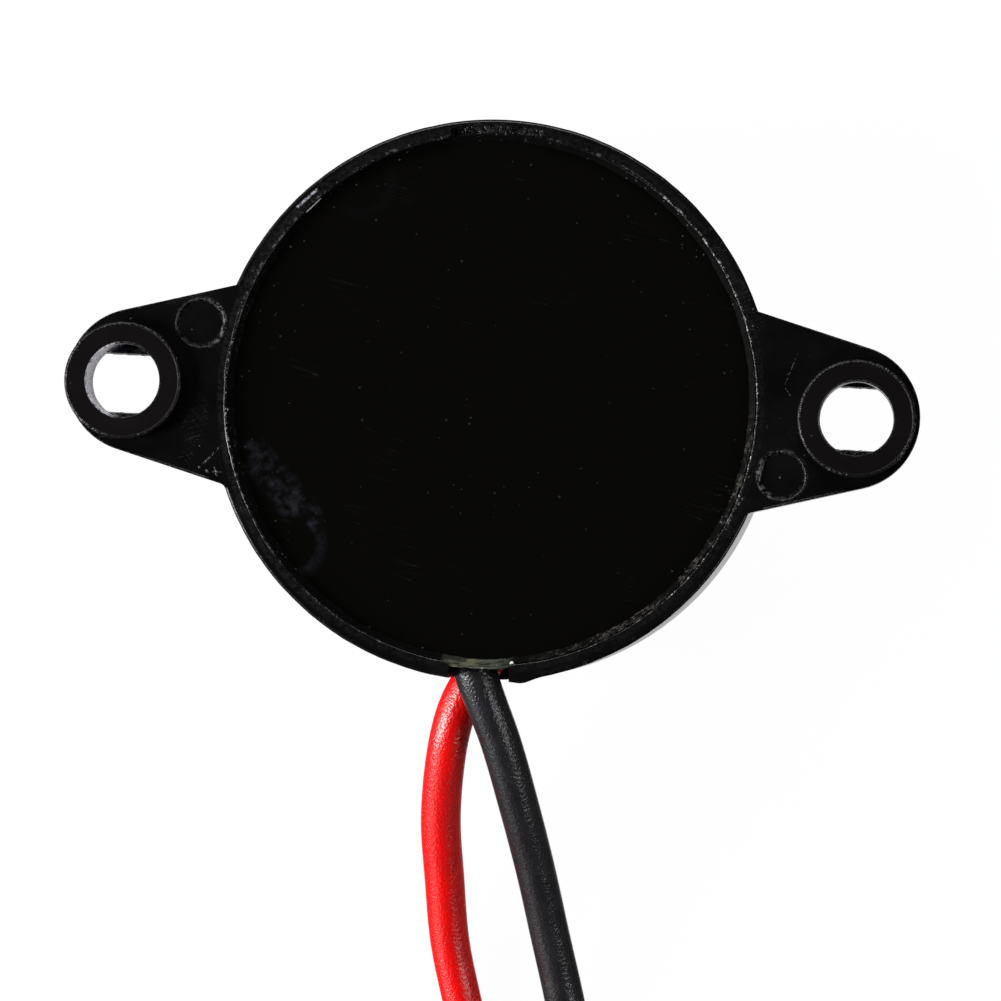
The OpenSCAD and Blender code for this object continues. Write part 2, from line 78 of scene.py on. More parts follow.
class Signal:
    """An output socket that takes part in arithmetic, one Math node for each operation."""

    def __init__(self, board: "NodeBoard", socket: bpy.types.NodeSocket) -> None:
        """Wraps an output socket of a node on the board."""
        self.board = board
        self.socket = socket

    def _maths(self, operation: str, *values: SocketValue, clamp: bool = False) -> "Signal":
        """Adds one Math node with these inputs, held between 0 and 1 if clamp is set."""
        settings = {"operation": operation, "use_clamp": clamp}
        return self.board.add("ShaderNodeMath", settings, dict(enumerate(values)))

    def __add__(self, other: SocketValue) -> "Signal":
        """Adds."""
        return self._maths("ADD", self, other)

    __radd__ = __add__

    def __sub__(self, other: SocketValue) -> "Signal":
        """Subtracts other from this."""
        return self._maths("SUBTRACT", self, other)

    def __rsub__(self, other: SocketValue) -> "Signal":
        """Subtracts this from other."""
        return self._maths("SUBTRACT", other, self)

    def __mul__(self, other: SocketValue) -> "Signal":
        """Multiplies."""
        return self._maths("MULTIPLY", self, other)

    __rmul__ = __mul__

    def __truediv__(self, other: SocketValue) -> "Signal":
        """Divides this by other."""
        return self._maths("DIVIDE", self, other)

    def __abs__(self) -> "Signal":
        """Drops the sign."""
        return self._maths("ABSOLUTE", self)

    def __pow__(self, other: SocketValue) -> "Signal":
        """Raises this to a power."""
        return self._maths("POWER", self, other)

    def __lt__(self, other: SocketValue) -> "Signal":
        """Gives 1 where this is under other."""
        return self._maths("LESS_THAN", self, other)

    def __gt__(self, other: SocketValue) -> "Signal":
        """Gives 1 where this is over other."""
        return self._maths("GREATER_THAN", self, other)

    def clipped(self) -> "Signal":
        """Holds the value between 0 and 1."""
        return self._maths("ADD", self, 0.0, clamp=True)

    def larger(self, other: SocketValue) -> "Signal":
        """Takes the larger of two values."""
        return self._maths("MAXIMUM", self, other)

    def away(self, other: "Signal") -> "Signal":
        """Gives how far the place with these two parts is from the origin."""
        return (self * self + other * other) ** 0.5

    def output(self, name: str) -> "Signal":
        """Gives another output of the same node."""
        return Signal(self.board, self.socket.node.outputs[name])

    def ramped(self, low: float, high: float) -> "Signal":
        """Maps low to 0 and high to 1, smoothly and held at both ends.

        Args:
            low: The value that gives 0.
            high: The value that gives 1. It may be under low.

        Returns:
            The mapped value.
        """
        values = {"Value": self, "From Min": min(low, high), "From Max": max(low, high)}
        if low > high:
            values |= {"To Min": 1.0, "To Max": 0.0}
        return self.board.add("ShaderNodeMapRange", {"interpolation_type": "SMOOTHSTEP"}, values)


class NodeBoard:
    """A material's node tree, to which nodes are added one call at a time."""

    def __init__(self, tree: bpy.types.NodeTree) -> None:
        """Starts on a node tree, whose nodes are removed."""
        self.tree = tree
        tree.nodes.clear()

    def add(
        self,
        kind: str,
        settings: Mapping[str, object] | None = None,
        values: Mapping[str | int, SocketValue] | None = None,
        output: str | int = 0,
    ) -> Signal:
        """Adds a node.

        Args:
            kind: The node's type.
            settings: Its properties, set before its sockets.
            values: The values or links of its input sockets, by name or place.
            output: The output that is given back.

        Returns:
            One of the node's outputs.
        """
        node = self.tree.nodes.new(kind)
        for name, value in (settings or {}).items():
            setattr(node, name, value)
        for name, value in (values or {}).items():
            socket = node.inputs[name]
            if isinstance(value, Signal):
                self.tree.links.new(value.socket, socket)
            elif isinstance(value, (int, float)):
                socket.default_value = value
            else:
                wide = len(socket.default_value) == 4 and len(value) == 3
                socket.default_value = (*value, 1.0) if wide else tuple(value)
        return Signal(self, node.outputs[output] if node.outputs else None)

    def place(self) -> Signal:
        """Gives the place on the object, in metres in the part's frame."""
        return self.add("ShaderNodeTexCoord", output="Object")

    def parts(self, vector: Signal) -> tuple[Signal, Signal, Signal]:
        """Splits a vector into its three parts."""
        first = self.add("ShaderNodeSeparateXYZ", None, {0: vector})
        return first, first.output("Y"), first.output("Z")

    def in_mm(self, place: Signal) -> tuple[Signal, Signal, Signal]:
        """Gives a place's parts in millimetres."""
        return self.parts(self.stretched(place, (1 / MM, 1 / MM, 1 / MM)))

    def stroke(self, x: Signal, y: Signal, start: Point2, end: Point2, width: float) -> Signal:
        """Draws one straight mark with soft sides, seen from above.

        Args:
            x: The place along X in millimetres.
            y: The place along Y in millimetres.
            start: Where the mark starts.
            end: Where it ends.
            width: Half its width.

        Returns:
            1 on the mark and 0 beside it.
        """
        run_x, run_y = end[0] - start[0], end[1] - start[1]
        along = (((x - start[0]) * run_x + (y - start[1]) * run_y) / (run_x**2 + run_y**2)).clipped()
        off_x, off_y = x - start[0] - along * run_x, y - start[1] - along * run_y
        return (off_x * off_x + off_y * off_y).ramped(width**2, (0.3 * width) ** 2)

    def strokes(self, x: Signal, y: Signal, marks: Sequence[Stroke]) -> Signal:
        """Draws several straight marks.

        Args:
            x: The place along X in millimetres.
            y: The place along Y in millimetres.
            marks: The start, end and half width of each.

        Returns:
            1 on a mark and 0 beside them.
        """
        drawn = self.stroke(x, y, *marks[0])
        for mark in marks[1:]:
            drawn = drawn.larger(self.stroke(x, y, *mark))
        return drawn

    def stretched(self, vector: Signal, scale: Point3, turn_deg: float = 0.0) -> Signal:
        """Turns a place about Z and scales it.

        Args:
            vector: The place.
            scale: The factor along each axis after the turn.
            turn_deg: The turn in degrees.

        Returns:
            The new place.
        """
        values = {"Vector": vector, "Angle": math.radians(turn_deg)}
        turned = self.add("ShaderNodeVectorRotate", {"rotation_type": "Z_AXIS"}, values)
        return self.add("ShaderNodeVectorMath", {"operation": "MULTIPLY"}, {0: turned, 1: scale})

    def noise(self, vector: Signal, per_mm: float, detail: float = 2.0, rough: float = 0.5) -> Signal:
        """Adds noise of about 0.5, with this many features in a millimetre and octaves of detail."""
        values = {"Vector": vector, "Scale": per_mm / MM, "Detail": detail, "Roughness": rough}
        return self.add("ShaderNodeTexNoise", None, values)

    def specks(self, vector: Signal, per_mm: float, size: float, share: float) -> Signal:
        """Scatters small round specks, at most one for each cell.

        Args:
            vector: The place, in metres.
            per_mm: How many cells there are in a millimetre.
            size: A speck's radius as a part of its cell.
            share: The part of the cells that hold a speck.

        Returns:
            1 on a speck and 0 between them.
        """
        cell = self.add("ShaderNodeTexVoronoi", None, {"Vector": vector, "Scale": per_mm / MM}, "Distance")
        chance = self.add("ShaderNodeSeparateColor", None, {0: cell.output("Color")})
        return cell.ramped(size, size * 0.5) * (chance < share)

    def scratches(self, vector: Signal, turn_deg: float, per_mm: float, width: float, share: float) -> Signal:
        """Draws fine straight scratches of broken length.

        Args:
            vector: The place, in metres.
            turn_deg: The direction of the scratches.
            per_mm: How many features there are in a millimetre across them.
            width: A scratch's width in the noise's own range.
            share: About how much of the surface has scratches.

        Returns:
            1 in a scratch and 0 beside it.
        """
        along = self.stretched(vector, (0.035, 1.0, 0.3), turn_deg)
        line = abs(self.noise(along, per_mm, 1.0, 0.4) - 0.5).ramped(width, width * 0.3)
        where = self.noise(vector, 0.35, 2.0, 0.6).ramped(0.62 - 0.3 * share, 0.7 - 0.3 * share)
        return line * where

    def tinted(self, factor: SocketValue, low: SocketValue, high: SocketValue) -> Signal:
        """Mixes two colours, with a factor of 0 for low and 1 for high."""
        return self.add("ShaderNodeMix", {"data_type": "RGBA"}, {0: factor, 6: low, 7: high}, 2)

    def layered(self, base: SocketValue, *layers: tuple[SocketValue, SocketValue]) -> Signal:
        """Lays colours over a base colour.

        Args:
            base: The base colour.
            layers: Where each colour lies, from 0 to 1, and the colour.

        Returns:
            The colour of them all.
        """
        for factor, colour in layers:
            base = self.tinted(factor, base, colour)
        return base

    def bumped(self, height: Signal, depth_mm: float, normal: Signal | None = None) -> Signal:
        """Turns a height into a normal.

        Args:
            height: The height, from 0 to 1.
            depth_mm: How far 1 stands above 0.
            normal: A normal to add to.

        Returns:
            The new normal.
        """
        values: dict[str | int, SocketValue] = {"Strength": 1.0, "Distance": depth_mm * MM, "Height": height}
        if normal is not None:
            values["Normal"] = normal
        return self.add("ShaderNodeBump", None, values)

    def surface(self, colour: Signal, roughness: Signal, normal: Signal, fixed: Mapping[str, float]) -> None:
        """Ends the tree in one Principled shader.

        Args:
            colour: Its base colour.
            roughness: Its roughness.
            normal: Its normal.
            fixed: Values of its other sockets, by name.
        """
        values = {"Base Color": colour, "Roughness": roughness, "Normal": normal, **fixed}
        shader = self.add("ShaderNodeBsdfPrincipled", None, values)
        self.add("ShaderNodeOutputMaterial", None, {"Surface": shader})


def grey(level: float) -> Colour:
    """Gives a neutral colour."""
    return (level, level, level)


# ---- Finishes ----


@dataclass(frozen=True)
class Finish:
    """A finish that can be put on a surface. Subclasses paint it."""

    name: str

    def material(self) -> bpy.types.Material:
        """Makes the finish's material, or finds it if it is there already.

        Returns:
            The material.
        """
        made = bpy.data.materials.get(self.name)
        if made is None:
            made = bpy.data.materials.new(self.name)
            made.use_nodes = True
            self.paint(NodeBoard(made.node_tree))
        return made

    def paint(self, board: NodeBoard) -> None:
        """Builds the node tree on an empty board."""
        raise NotImplementedError


@dataclass(frozen=True)
class MouldedAbs(Finish):
    """Black moulded plastic with a satin grain, a few handling scratches and dust, and painted light:
    highlights on its edges, on the rim's inner line and on the pin marks, glints, a pale sheen in the left
    screw hole and lit ledges in the holes.
    """

    name: str = "moulded_abs"
    tone: Colour = (0.0012, 0.0011, 0.0012)
    mottle: Colour = (0.0021, 0.0019, 0.002)
    ring_tone: Colour = (0.0034, 0.0026, 0.003)
    rim_tone: Colour = (0.0095, 0.008, 0.0083)
    bore_light_and_glint_tone: Colour = (0.55, 0.53, 0.62)
    ledge_light_tone: Colour = (0.14, 0.12, 0.14)
    pocket_tone: Colour = (0.03, 0.03, 0.03)
    wear_and_highlight_tone: Colour = (0.28, 0.28, 0.3)
    roughness: float = 0.25
    hole_at: Point2 = (14.95, -0.05)
    pin_at: Point2 = (12.0, -2.485)
    # Where a painted glint lies on the rim top.
    glint: Stroke = ((-8.3, 7.4), (-7.55, 8.15), 0.07)
    # Handling scratches on the ears and rim, then painted glints: one on the rim's lower right and one on the
    # edge of each ring.
    marks: tuple[Stroke, ...] = (
        ((-10.85, -2.45), (-11.75, -3.45), 0.045),
        ((-11.5, -3.55), (-10.8, -3.6), 0.07),
        ((-11.2, -3.2), (-11.0, -3.75), 0.04),
        ((12.38, 2.46), (11.95, 1.22), 0.022),
        ((11.96, 1.05), (12.48, 0.4), 0.022),
        ((10.35, -3.5), (9.75, -4.75), 0.17),
        ((16.7, -1.68), (17.18, -0.62), 0.07),
        ((-17.2, 0.9), (-16.6, 1.9), 0.07),
    )

    def paint(self, board: NodeBoard) -> None:
        """Builds the node tree.

        Args:
            board: Where the nodes go.
        """
        place = board.place()
        x, y, z = board.in_mm(place)
        cloud = board.noise(place, 0.45, 3.0, 0.55)
        spark = board.noise(place, 5.5, 2.0, 0.75)
        # Noise that breaks up the painted highlights and wobbles the rim line.
        breakup_noise = board.noise(place, 0.7, 2.0, 0.6)
        reach, on_top = x.away(y), z.ramped(11.0, 11.1)
        top_edge = z.ramped(10.9, 11.0)

        # The rim's inner line carries a painted highlight, stronger on the right and at the far left, and a
        # rough bump.
        off_line = reach + (breakup_noise - 0.5) * 0.2
        rim_line = off_line.ramped(10.91, 10.87) * off_line.ramped(10.77, 10.8) * top_edge
        rim_line = rim_line * (0.2 + x.ramped(3.5, 8.0).larger(x.ramped(-10.2, -10.7) * 0.5))
        edge = board.add("ShaderNodeAttribute", {"attribute_name": EDGE_MARK}, output="Fac")
        edge = edge.ramped(0.3, 0.9) * (0.2 + reach.ramped(11.9, 12.1))
        pocket = y.ramped(10.2, 10.4) * z.ramped(10.9, 10.87) * z.ramped(10.7, 10.8)
        off_hole = (abs(x) - self.hole_at[0]).away(y - self.hole_at[1])
        bore = off_hole.ramped(1.6, 1.54)
        # Painted light on the ledge above each upper flat, down in the screw hole's shade.
        ledge_light = off_hole.ramped(1.45, 1.4) * z.ramped(9.9, 9.97) * (y > 0)
        pin_x, pin_y = abs(x) - self.pin_at[0], y * ((x > 0) * 2 - 1) - self.pin_at[1]
        off_pin = pin_x.away(pin_y)
        # Painted highlight on each pin mark's edge, stronger on the side towards the cup.
        pin = off_pin.ramped(1.12, 0.98) * off_pin.ramped(0.82, 0.92) * top_edge
        pin = pin * (0.25 + (0 - pin_x).ramped(0.1, 0.7) * breakup_noise.ramped(0.3, 0.5))

        # Scratches and painted glints from the marks, on the top faces.
        scratch_and_glint = board.strokes(x, y, self.marks) * on_top * spark.ramped(0.5, 0.66)
        scratch = board.scratches(place, 47.0, 4.0, 0.006, 0.12)
        scratch = scratch.larger(board.scratches(place, -21.0, 5.0, 0.005, 0.1))
        dust = board.specks(place, 2.1, 0.1, 0.08).larger(board.specks(place, 4.5, 0.16, 0.03))
        # Painted highlights: dotted bright lines on the outer edges, on the rim's inner line and on the pin
        # marks.
        edge_glints = edge * spark.ramped(0.54, 0.66) * breakup_noise.ramped(0.48, 0.64) * 0.2
        edge_glints = (rim_line * spark.ramped(0.54, 0.64)).larger(edge_glints)
        edge_glints = edge_glints.larger(pin * spark.ramped(0.44, 0.6) * 0.35)
        # Real scratches and dust share one lighter colour with the painted highlights and glints.
        wear_and_highlights = (scratch_and_glint * 0.25).larger(edge_glints * 0.8).larger(dust * 0.25).larger(scratch * 0.02)
        skin = on_top * reach.ramped(11.25, 11.1) * spark.ramped(0.35, 0.65)
        skin = skin * (0.45 + x.ramped(-5.0, -9.0) * 0.45)
        # Painted pale light, speckled, on the left screw hole's bore wall, and a painted glint on the rim
        # top, both in one pale bluish colour.
        bore_light = bore * off_hole.ramped(1.4, 1.45) * x.ramped(-15.1, -15.7) * spark.ramped(0.36, 0.54)
        glint = board.stroke(x, y, *self.glint) * on_top * spark.ramped(0.4, 0.65)

        colour = board.layered(
            self.tone,
            (cloud.ramped(0.35, 0.7), self.mottle),
            (z.ramped(11.8, 11.9), self.ring_tone),
            (skin, self.rim_tone),
            # Painted light in the left bore and painted glint on the rim.
            (bore_light.larger(glint * 0.5), self.bore_light_and_glint_tone),
            # Painted light on the hole ledges.
            (ledge_light * spark.ramped(0.3, 0.6), self.ledge_light_tone),
            (pocket * spark.ramped(0.4, 0.7), self.pocket_tone),
            # Scratches and dust, with painted highlights and glints.
            (wear_and_highlights, self.wear_and_highlight_tone),
        )
        roughness = self.roughness + (cloud - 0.5) * 0.14 + wear_and_highlights * 0.15
        roughness = roughness + bore * spark.ramped(0.42, 0.6) * 0.15
        rough_spots = rim_line + pocket * 1.5 + scratch_and_glint * 0.6 + edge * 1.2 + bore * 0.4
        normal = board.bumped(board.noise(place, 7.0, 3.0, 0.65), 0.0022)
        normal = board.bumped(spark * rough_spots, 0.05, normal)
        normal = board.bumped(1 - scratch, 0.0015, normal)
        board.surface(colour, roughness, normal, {"IOR": 1.5, "Specular IOR Level": 0.3})


@dataclass(frozen=True)
class BoardLacquer(Finish):
    """Thick black lacquer over the board, very smooth, with a painted bluish sheen, two runs with painted
    highlights on their edges, and dust.
    """

    name: str = "board_lacquer"
    tone: Colour = (0.0018, 0.0017, 0.0014)
    sheen_tone: Colour = (0.0135, 0.0135, 0.0185)
    dust_tone: Colour = (0.11, 0.11, 0.115)
    # Where the painted bluish sheen lies.
    painted_sheen: Stroke = ((-9.5, -2.8), (-7.3, -5.3), 0.85)
    # The middle, the radius and the lean of each run's edge.
    runs: tuple[tuple[Point2, float, float], ...] = (((-8.05, -6.3), 1.3, 0.2), ((-5.8, 8.5), 1.1, 1.0))

    def paint(self, board: NodeBoard) -> None:
        """Builds the node tree.

        Args:
            board: Where the nodes go.
        """
        place = board.place()
        x, y, _ = board.in_mm(place)
        mottle = board.noise(place, 1.6, 5.0, 0.7)
        # Painted bluish sheen, a mottled patch at the lower left, kept off the runs.
        sheen_patch = board.stroke(x, y, *self.painted_sheen) * mottle.ramped(0.4, 0.68)
        ridges = []
        for (hub_x, hub_y), radius, lean in self.runs:
            off_x, off_y = x - hub_x, y - hub_y
            away = off_x.away(off_y) + (mottle - 0.5) * 0.7
            sheen_patch = sheen_patch * away.ramped(radius - 0.25, radius)
            # Painted highlight on one side of each run's edge.
            ridge = away.ramped(radius + 0.55, radius) * away.ramped(radius - 0.2, radius)
            ridges.append(ridge * (off_x - off_y * lean).ramped(-0.2, 0.9))
        ridge = ridges[0].larger(ridges[1])
        dust = board.specks(place, 1.1, 0.07, 0.4).larger(board.specks(place, 2.9, 0.12, 0.12))
        edge_dust = board.specks(place, 3.5, 0.16, 0.2) * x.away(y).ramped(9.6, 10.6)
        hair = board.scratches(place, 12.0, 4.0, 0.004, 0.1)
        # Painted highlights along the runs' edges, stronger towards -Y, and the sheen, in one bluish colour.
        low_ridge = ridge * mottle.ramped(0.38, 0.66) * y.ramped(4.0, -4.0)
        painted_sheen = (sheen_patch * 0.85).larger(low_ridge * 0.55).larger(ridge * 0.05)
        specks = (dust * 0.13).larger(edge_dust * 0.5).larger(hair * 0.08)
        colour = board.layered(self.tone, (painted_sheen, self.sheen_tone), (specks, self.dust_tone))
        normal = board.bumped(board.noise(place, 0.22, 2.0, 0.5), 0.02)
        fixed = {"IOR": 1.5, "Specular IOR Level": 0.4}
        board.surface(colour, 0.1 + painted_sheen * 0.2 + specks * 0.4, normal, fixed)


@dataclass(frozen=True)
class GlassEpoxy(Finish):
    """The board's bare laminate, pale and faintly woven."""

    name: str = "glass_epoxy"
    tone: Colour = (0.17, 0.18, 0.13)
    thread: Colour = (0.26, 0.27, 0.21)
    stained: Colour = (0.03, 0.03, 0.025)

    def paint(self, board: NodeBoard) -> None:
        """Builds the node tree.

        Args:
            board: Where the nodes go.
        """
        place = board.place()
        weave_x = board.noise(board.stretched(place, (8.0, 1.0, 1.0)), 0.6, 1.0)
        weave_y = board.noise(board.stretched(place, (1.0, 8.0, 1.0)), 0.6, 1.0)
        weave = (weave_x + weave_y) * 0.5
        stain = board.noise(place, 1.1, 4.0, 0.6)
        layers = (weave.ramped(0.35, 0.65), self.thread), (stain.ramped(0.5, 0.75) * 0.7, self.stained)
        colour = board.layered(self.tone, *layers)
        board.surface(colour, 0.45 + stain * 0.2, board.bumped(weave, 0.008), {"IOR": 1.5})


@dataclass(frozen=True)
class EdgeAdhesive(Finish):
    """Adhesive smeared black with lacquer, full of fine grit, with a painted pale, yellowish glow where light
    comes through it in the lead notch.
    """

    name: str = "edge_adhesive"
    smear: Colour = (0.003, 0.0028, 0.0027)
    backlit_glow_tone: Colour = (0.068, 0.076, 0.058)
    backlit_warm_tone: Colour = (0.105, 0.105, 0.066)
    soil: Colour = (0.1, 0.096, 0.085)
    grit_tone: Colour = (0.36, 0.37, 0.36)
    crumb_and_glint_tone: Colour = (0.8, 0.82, 0.8)
    crumbs: tuple[Stroke, ...] = (
        ((1.38, -10.66), (1.43, -10.7), 0.09),
        ((-10.74, -0.98), (-10.74, -1.02), 0.045),
    )
    # Where a painted highlight lies along the bead's edge.
    glint: Stroke = ((-7.92, 7.28), (-7.42, 7.78), 0.09)

    def paint(self, board: NodeBoard) -> None:
        """Builds the node tree.

        Args:
            board: Where the nodes go.
        """
        place = board.place()
        x, y, z = board.in_mm(place)
        run = board.noise(place, 0.9, 4.0, 0.65)
        fine = board.noise(place, 5.0, 3.0, 0.7)
        thread = board.noise(board.stretched(place, (0.3, 1.0, 1.0)), 6.0, 2.0, 0.6)
        # Painted light: in the lead notch the bead glows pale, streaky and yellowish where light comes
        # through it (the masks below).
        mouth = y.ramped(-10.45, -10.6) * x.ramped(-1.5, -1.25) * x.ramped(1.62, 1.3)
        bare = mouth * (0.3 + 0.7 * thread.ramped(0.42, 0.56)) * (0.55 + 0.45 * x.ramped(1.4, 0.2))
        backlit_warm = mouth * x.ramped(-1.35, -1.1) * x.ramped(0.25, -0.25) * thread.ramped(0.42, 0.6)
        flank = (x * 0.7 - y * 0.72).ramped(6.5, 9.5) * x.ramped(1.5, 4.0)
        soiled = flank.larger(x.ramped(-8.5, -10.0) * 0.3) * fine.ramped(0.46, 0.62) * run.ramped(0.4, 0.58)
        chips = x.ramped(-7.2, -6.6) * x.ramped(-3.7, -4.2) * y.ramped(-7.0, -8.0)
        grit = board.specks(place, 5.0, 0.26, 0.2).larger(board.specks(place, 2.6, 0.14, 0.1))
        # Painted highlight on the bead's edge, drawn in the crumbs' pale colour.
        glint = board.stroke(x, y, *self.glint) * fine.ramped(0.3, 0.5)
        colour = board.layered(
            self.smear,
            # Painted glow in the lead notch.
            (bare, self.backlit_glow_tone),
            (backlit_warm, self.backlit_warm_tone),
            (soiled * 0.4, self.soil),
            # Grit is lighter in the painted glow of the notch.
            (grit * (0.12 + bare * 0.5 + chips), self.grit_tone),
            (board.strokes(x, y, self.crumbs).larger(glint) * z.ramped(10.85, 10.95), self.crumb_and_glint_tone),
        )
        fixed = {"IOR": 1.45, "Specular IOR Level": 0.02}
        board.surface(colour, 0.35 + fine * 0.3, board.bumped(fine + run, 0.03), fixed)


@dataclass(frozen=True)
class PvcInsulation(Finish):
    """Extruded lead insulation with a pebbled skin that breaks up its shine, and a few bright nicks."""

    name: str = "pvc_insulation"
    tone: Colour = (0.02, 0.02, 0.02)
    shade: Colour = (0.01, 0.01, 0.01)
    roughness: float = 0.3
    pebble_mm: float = 0.02
    pebbles: float = 6.0
    shine: float = 0.5

    def paint(self, board: NodeBoard) -> None:
        """Builds the node tree.

        Args:
            board: Where the nodes go.
        """
        place = board.place()
        pebble = board.noise(place, self.pebbles, 1.0, 0.5)
        coarse = board.noise(place, 0.9, 3.0, 0.55)
        nick = board.specks(place, 1.5, 0.06, 0.16)
        nicked = tuple(0.4 + 0.55 * c for c in self.tone)
        colour = board.layered(self.tone, (coarse.ramped(0.35, 0.7), self.shade), (nick * 0.6, nicked))
        roughness = self.roughness + (coarse - 0.5) * 0.12 + nick * 0.2
        fixed = {"IOR": 1.5, "Specular IOR Level": self.shine}
        board.surface(colour, roughness, board.bumped(pebble, self.pebble_mm), fixed)


@dataclass(frozen=True)
class PlainMetal(Finish):
    """A metal surface with drawn or rolled streaks and dull patches."""

    name: str = "plain_metal"
    tone: Colour = (0.6, 0.6, 0.58)
    dull: Colour = (0.35, 0.34, 0.32)
    roughness: float = 0.3
    streak: Point3 = (1.0, 0.12, 1.0)
    grain_mm: float = 0.003

    def paint(self, board: NodeBoard) -> None:
        """Builds the node tree.

        Args:
            board: Where the nodes go.
        """
        place = board.place()
        patch = board.noise(place, 0.8, 4.0, 0.6)
        streak = board.noise(board.stretched(place, self.streak, 20.0), 6.0, 3.0, 0.6)
        colour = board.tinted(patch.ramped(0.48, 0.72), self.tone, self.dull)
        roughness = self.roughness + (streak - 0.5) * 0.2 + patch.ramped(0.5, 0.75) * 0.2
        board.surface(colour, roughness, board.bumped(streak, self.grain_mm), {"Metallic": 1.0})


@dataclass(frozen=True)
class PlainMatt(Finish):
    """A non-metal surface with a mottled tone and a fine grain."""

    name: str = "plain_matt"
    tone: Colour = (0.03, 0.03, 0.03)
    mottle: Colour = (0.05, 0.05, 0.05)
    roughness: float = 0.5
    per_mm: float = 4.0
    grain_mm: float = 0.004

    def paint(self, board: NodeBoard) -> None:
        """Builds the node tree.

        Args:
            board: Where the nodes go.
        """
        place = board.place()
        grain = board.noise(place, self.per_mm, 4.0, 0.6)
        cloud = board.noise(place, self.per_mm * 0.15, 3.0, 0.5)
        colour = board.tinted(cloud.ramped(0.35, 0.7), self.tone, self.mottle)
        roughness = self.roughness + (grain - 0.5) * 0.2
        board.surface(colour, roughness, board.bumped(grain, self.grain_mm), {"IOR": 1.5})


ABS = MouldedAbs()
LACQUER = BoardLacquer()
LAMINATE = GlassEpoxy()
ADHESIVE = EdgeAdhesive()
RED_PVC = PvcInsulation("red_insulation", (0.71, 0.0012, 0.001), (0.60, 0.0008, 0.0007), 0.3, 0.032, 9.0, 0.6)
BLACK_PVC = PvcInsulation(
    "black_insulation", (0.0155, 0.0155, 0.0182), (0.009, 0.0088, 0.0108), 0.29, 0.032, 9.0, 0.5
)
BLUE_PVC = PvcInsulation("blue_insulation", (0.01, 0.04, 0.3), (0.008, 0.03, 0.22), 0.35, 0.004)
TINNED = PlainMetal("tinned_strands", (0.62, 0.61, 0.58), (0.42, 0.41, 0.38), 0.28, (1.0, 0.3, 1.0), 0.006)
SOLDER = PlainMetal("soft_solder", (0.55, 0.55, 0.54), (0.36, 0.36, 0.35), 0.24, (1.0, 0.8, 1.0), 0.008)
COPPER = PlainMetal("etched_copper", (0.75, 0.36, 0.2), (0.4, 0.2, 0.12), 0.34)
BRASS = PlainMetal("rolled_brass", (0.72, 0.5, 0.2), (0.5, 0.33, 0.13), 0.26, (1.0, 0.08, 1.0), 0.002)
SILVERING = PlainMetal("fired_silver", (0.74, 0.73, 0.7), (0.6, 0.58, 0.52), 0.5, (1.0, 0.9, 1.0), 0.006)
CERAMIC = PlainMatt("fired_ceramic", (0.62, 0.57, 0.44), (0.55, 0.5, 0.38), 0.55)
CHIP_GLAZE = PlainMatt("chip_glaze", (0.012, 0.012, 0.014), (0.02, 0.02, 0.024), 0.3)
EPOXY = PlainMatt("moulded_epoxy", (0.012, 0.012, 0.012), (0.018, 0.018, 0.018), 0.55, 9.0, 0.008)
SILICONE = PlainMatt("silicone_bond", (0.6, 0.6, 0.57), (0.52, 0.52, 0.5), 0.4, 2.0)
NYLON = PlainMatt("moulded_nylon", (0.009, 0.009, 0.01), (0.014, 0.014, 0.015), 0.42, 5.0, 0.005)


# ---- Meshes ----


def polar(radius: float, angle_deg: float) -> Point2:
    """Gives the place at a radius and an angle."""
    return radius * math.cos(math.radians(angle_deg)), radius * math.sin(math.radians(angle_deg))


def eased(corners: Sequence[Point2], radii: Sequence[float], steps: int, margin: float = 0.0) -> list[Point2]:
    """Rounds the corners of an open line.

    Args:
        corners: The line's points.
        radii: The radius at each point, 0 for a sharp one. The two ends stay as they are.
        steps: The number of stretches in each rounding.
        margin: How far beside a rounding an extra point goes, where there is room.

    Returns:
        The points of the rounded line.
    """
    made: list[Point2] = [corners[0]]
    for before, here, after, radius in zip(corners, corners[1:], corners[2:], radii[1:]):
        p, q, r = (np.array(c, float) for c in (before, here, after))
        if radius <= 0:
            made.append(here)
            continue
        a, b = (p - q) / np.linalg.norm(p - q), (r - q) / np.linalg.norm(r - q)
        half = math.acos(float(np.clip(a @ b, -1, 1))) / 2
        centre = q + (a + b) / np.linalg.norm(a + b) * radius / math.sin(half)
        cut = radius / math.tan(half)
        start, end = q + a * cut, q + b * cut
        u, v = start - centre, end - centre
        sweep = math.atan2(u[0] * v[1] - u[1] * v[0], u @ v)
        if 0 < margin and 2 * (cut + margin) < np.linalg.norm(p - q):
            made.append(tuple(q + a * (cut + margin)))
        for k in range(steps + 1):
            c, s = math.cos(sweep * k / steps), math.sin(sweep * k / steps)
            made.append((centre[0] + u[0] * c - u[1] * s, centre[1] + u[0] * s + u[1] * c))
        if 0 < margin and 2 * (cut + margin) < np.linalg.norm(r - q):
            made.append(tuple(q + b * (cut + margin)))
    made.append(corners[-1])
    return made


def wobble(angle_deg: float, seed: float, waves: Sequence[int] = (3, 7, 13, 29, 53)) -> float:
    """Gives a smooth irregular value round a circle, the same on each run.

    Args:
        angle_deg: The angle.
        seed: What tells one ring of values from another.
        waves: The number of waves in each term.

    Returns:
        A value from about -1 to 1.
    """
    angle = math.radians(angle_deg)
    total = sum(math.sin(angle * n + seed * (n + 1.7)) / (1 + 0.25 * k) for k, n in enumerate(waves))
    return total / len(waves) * 1.6


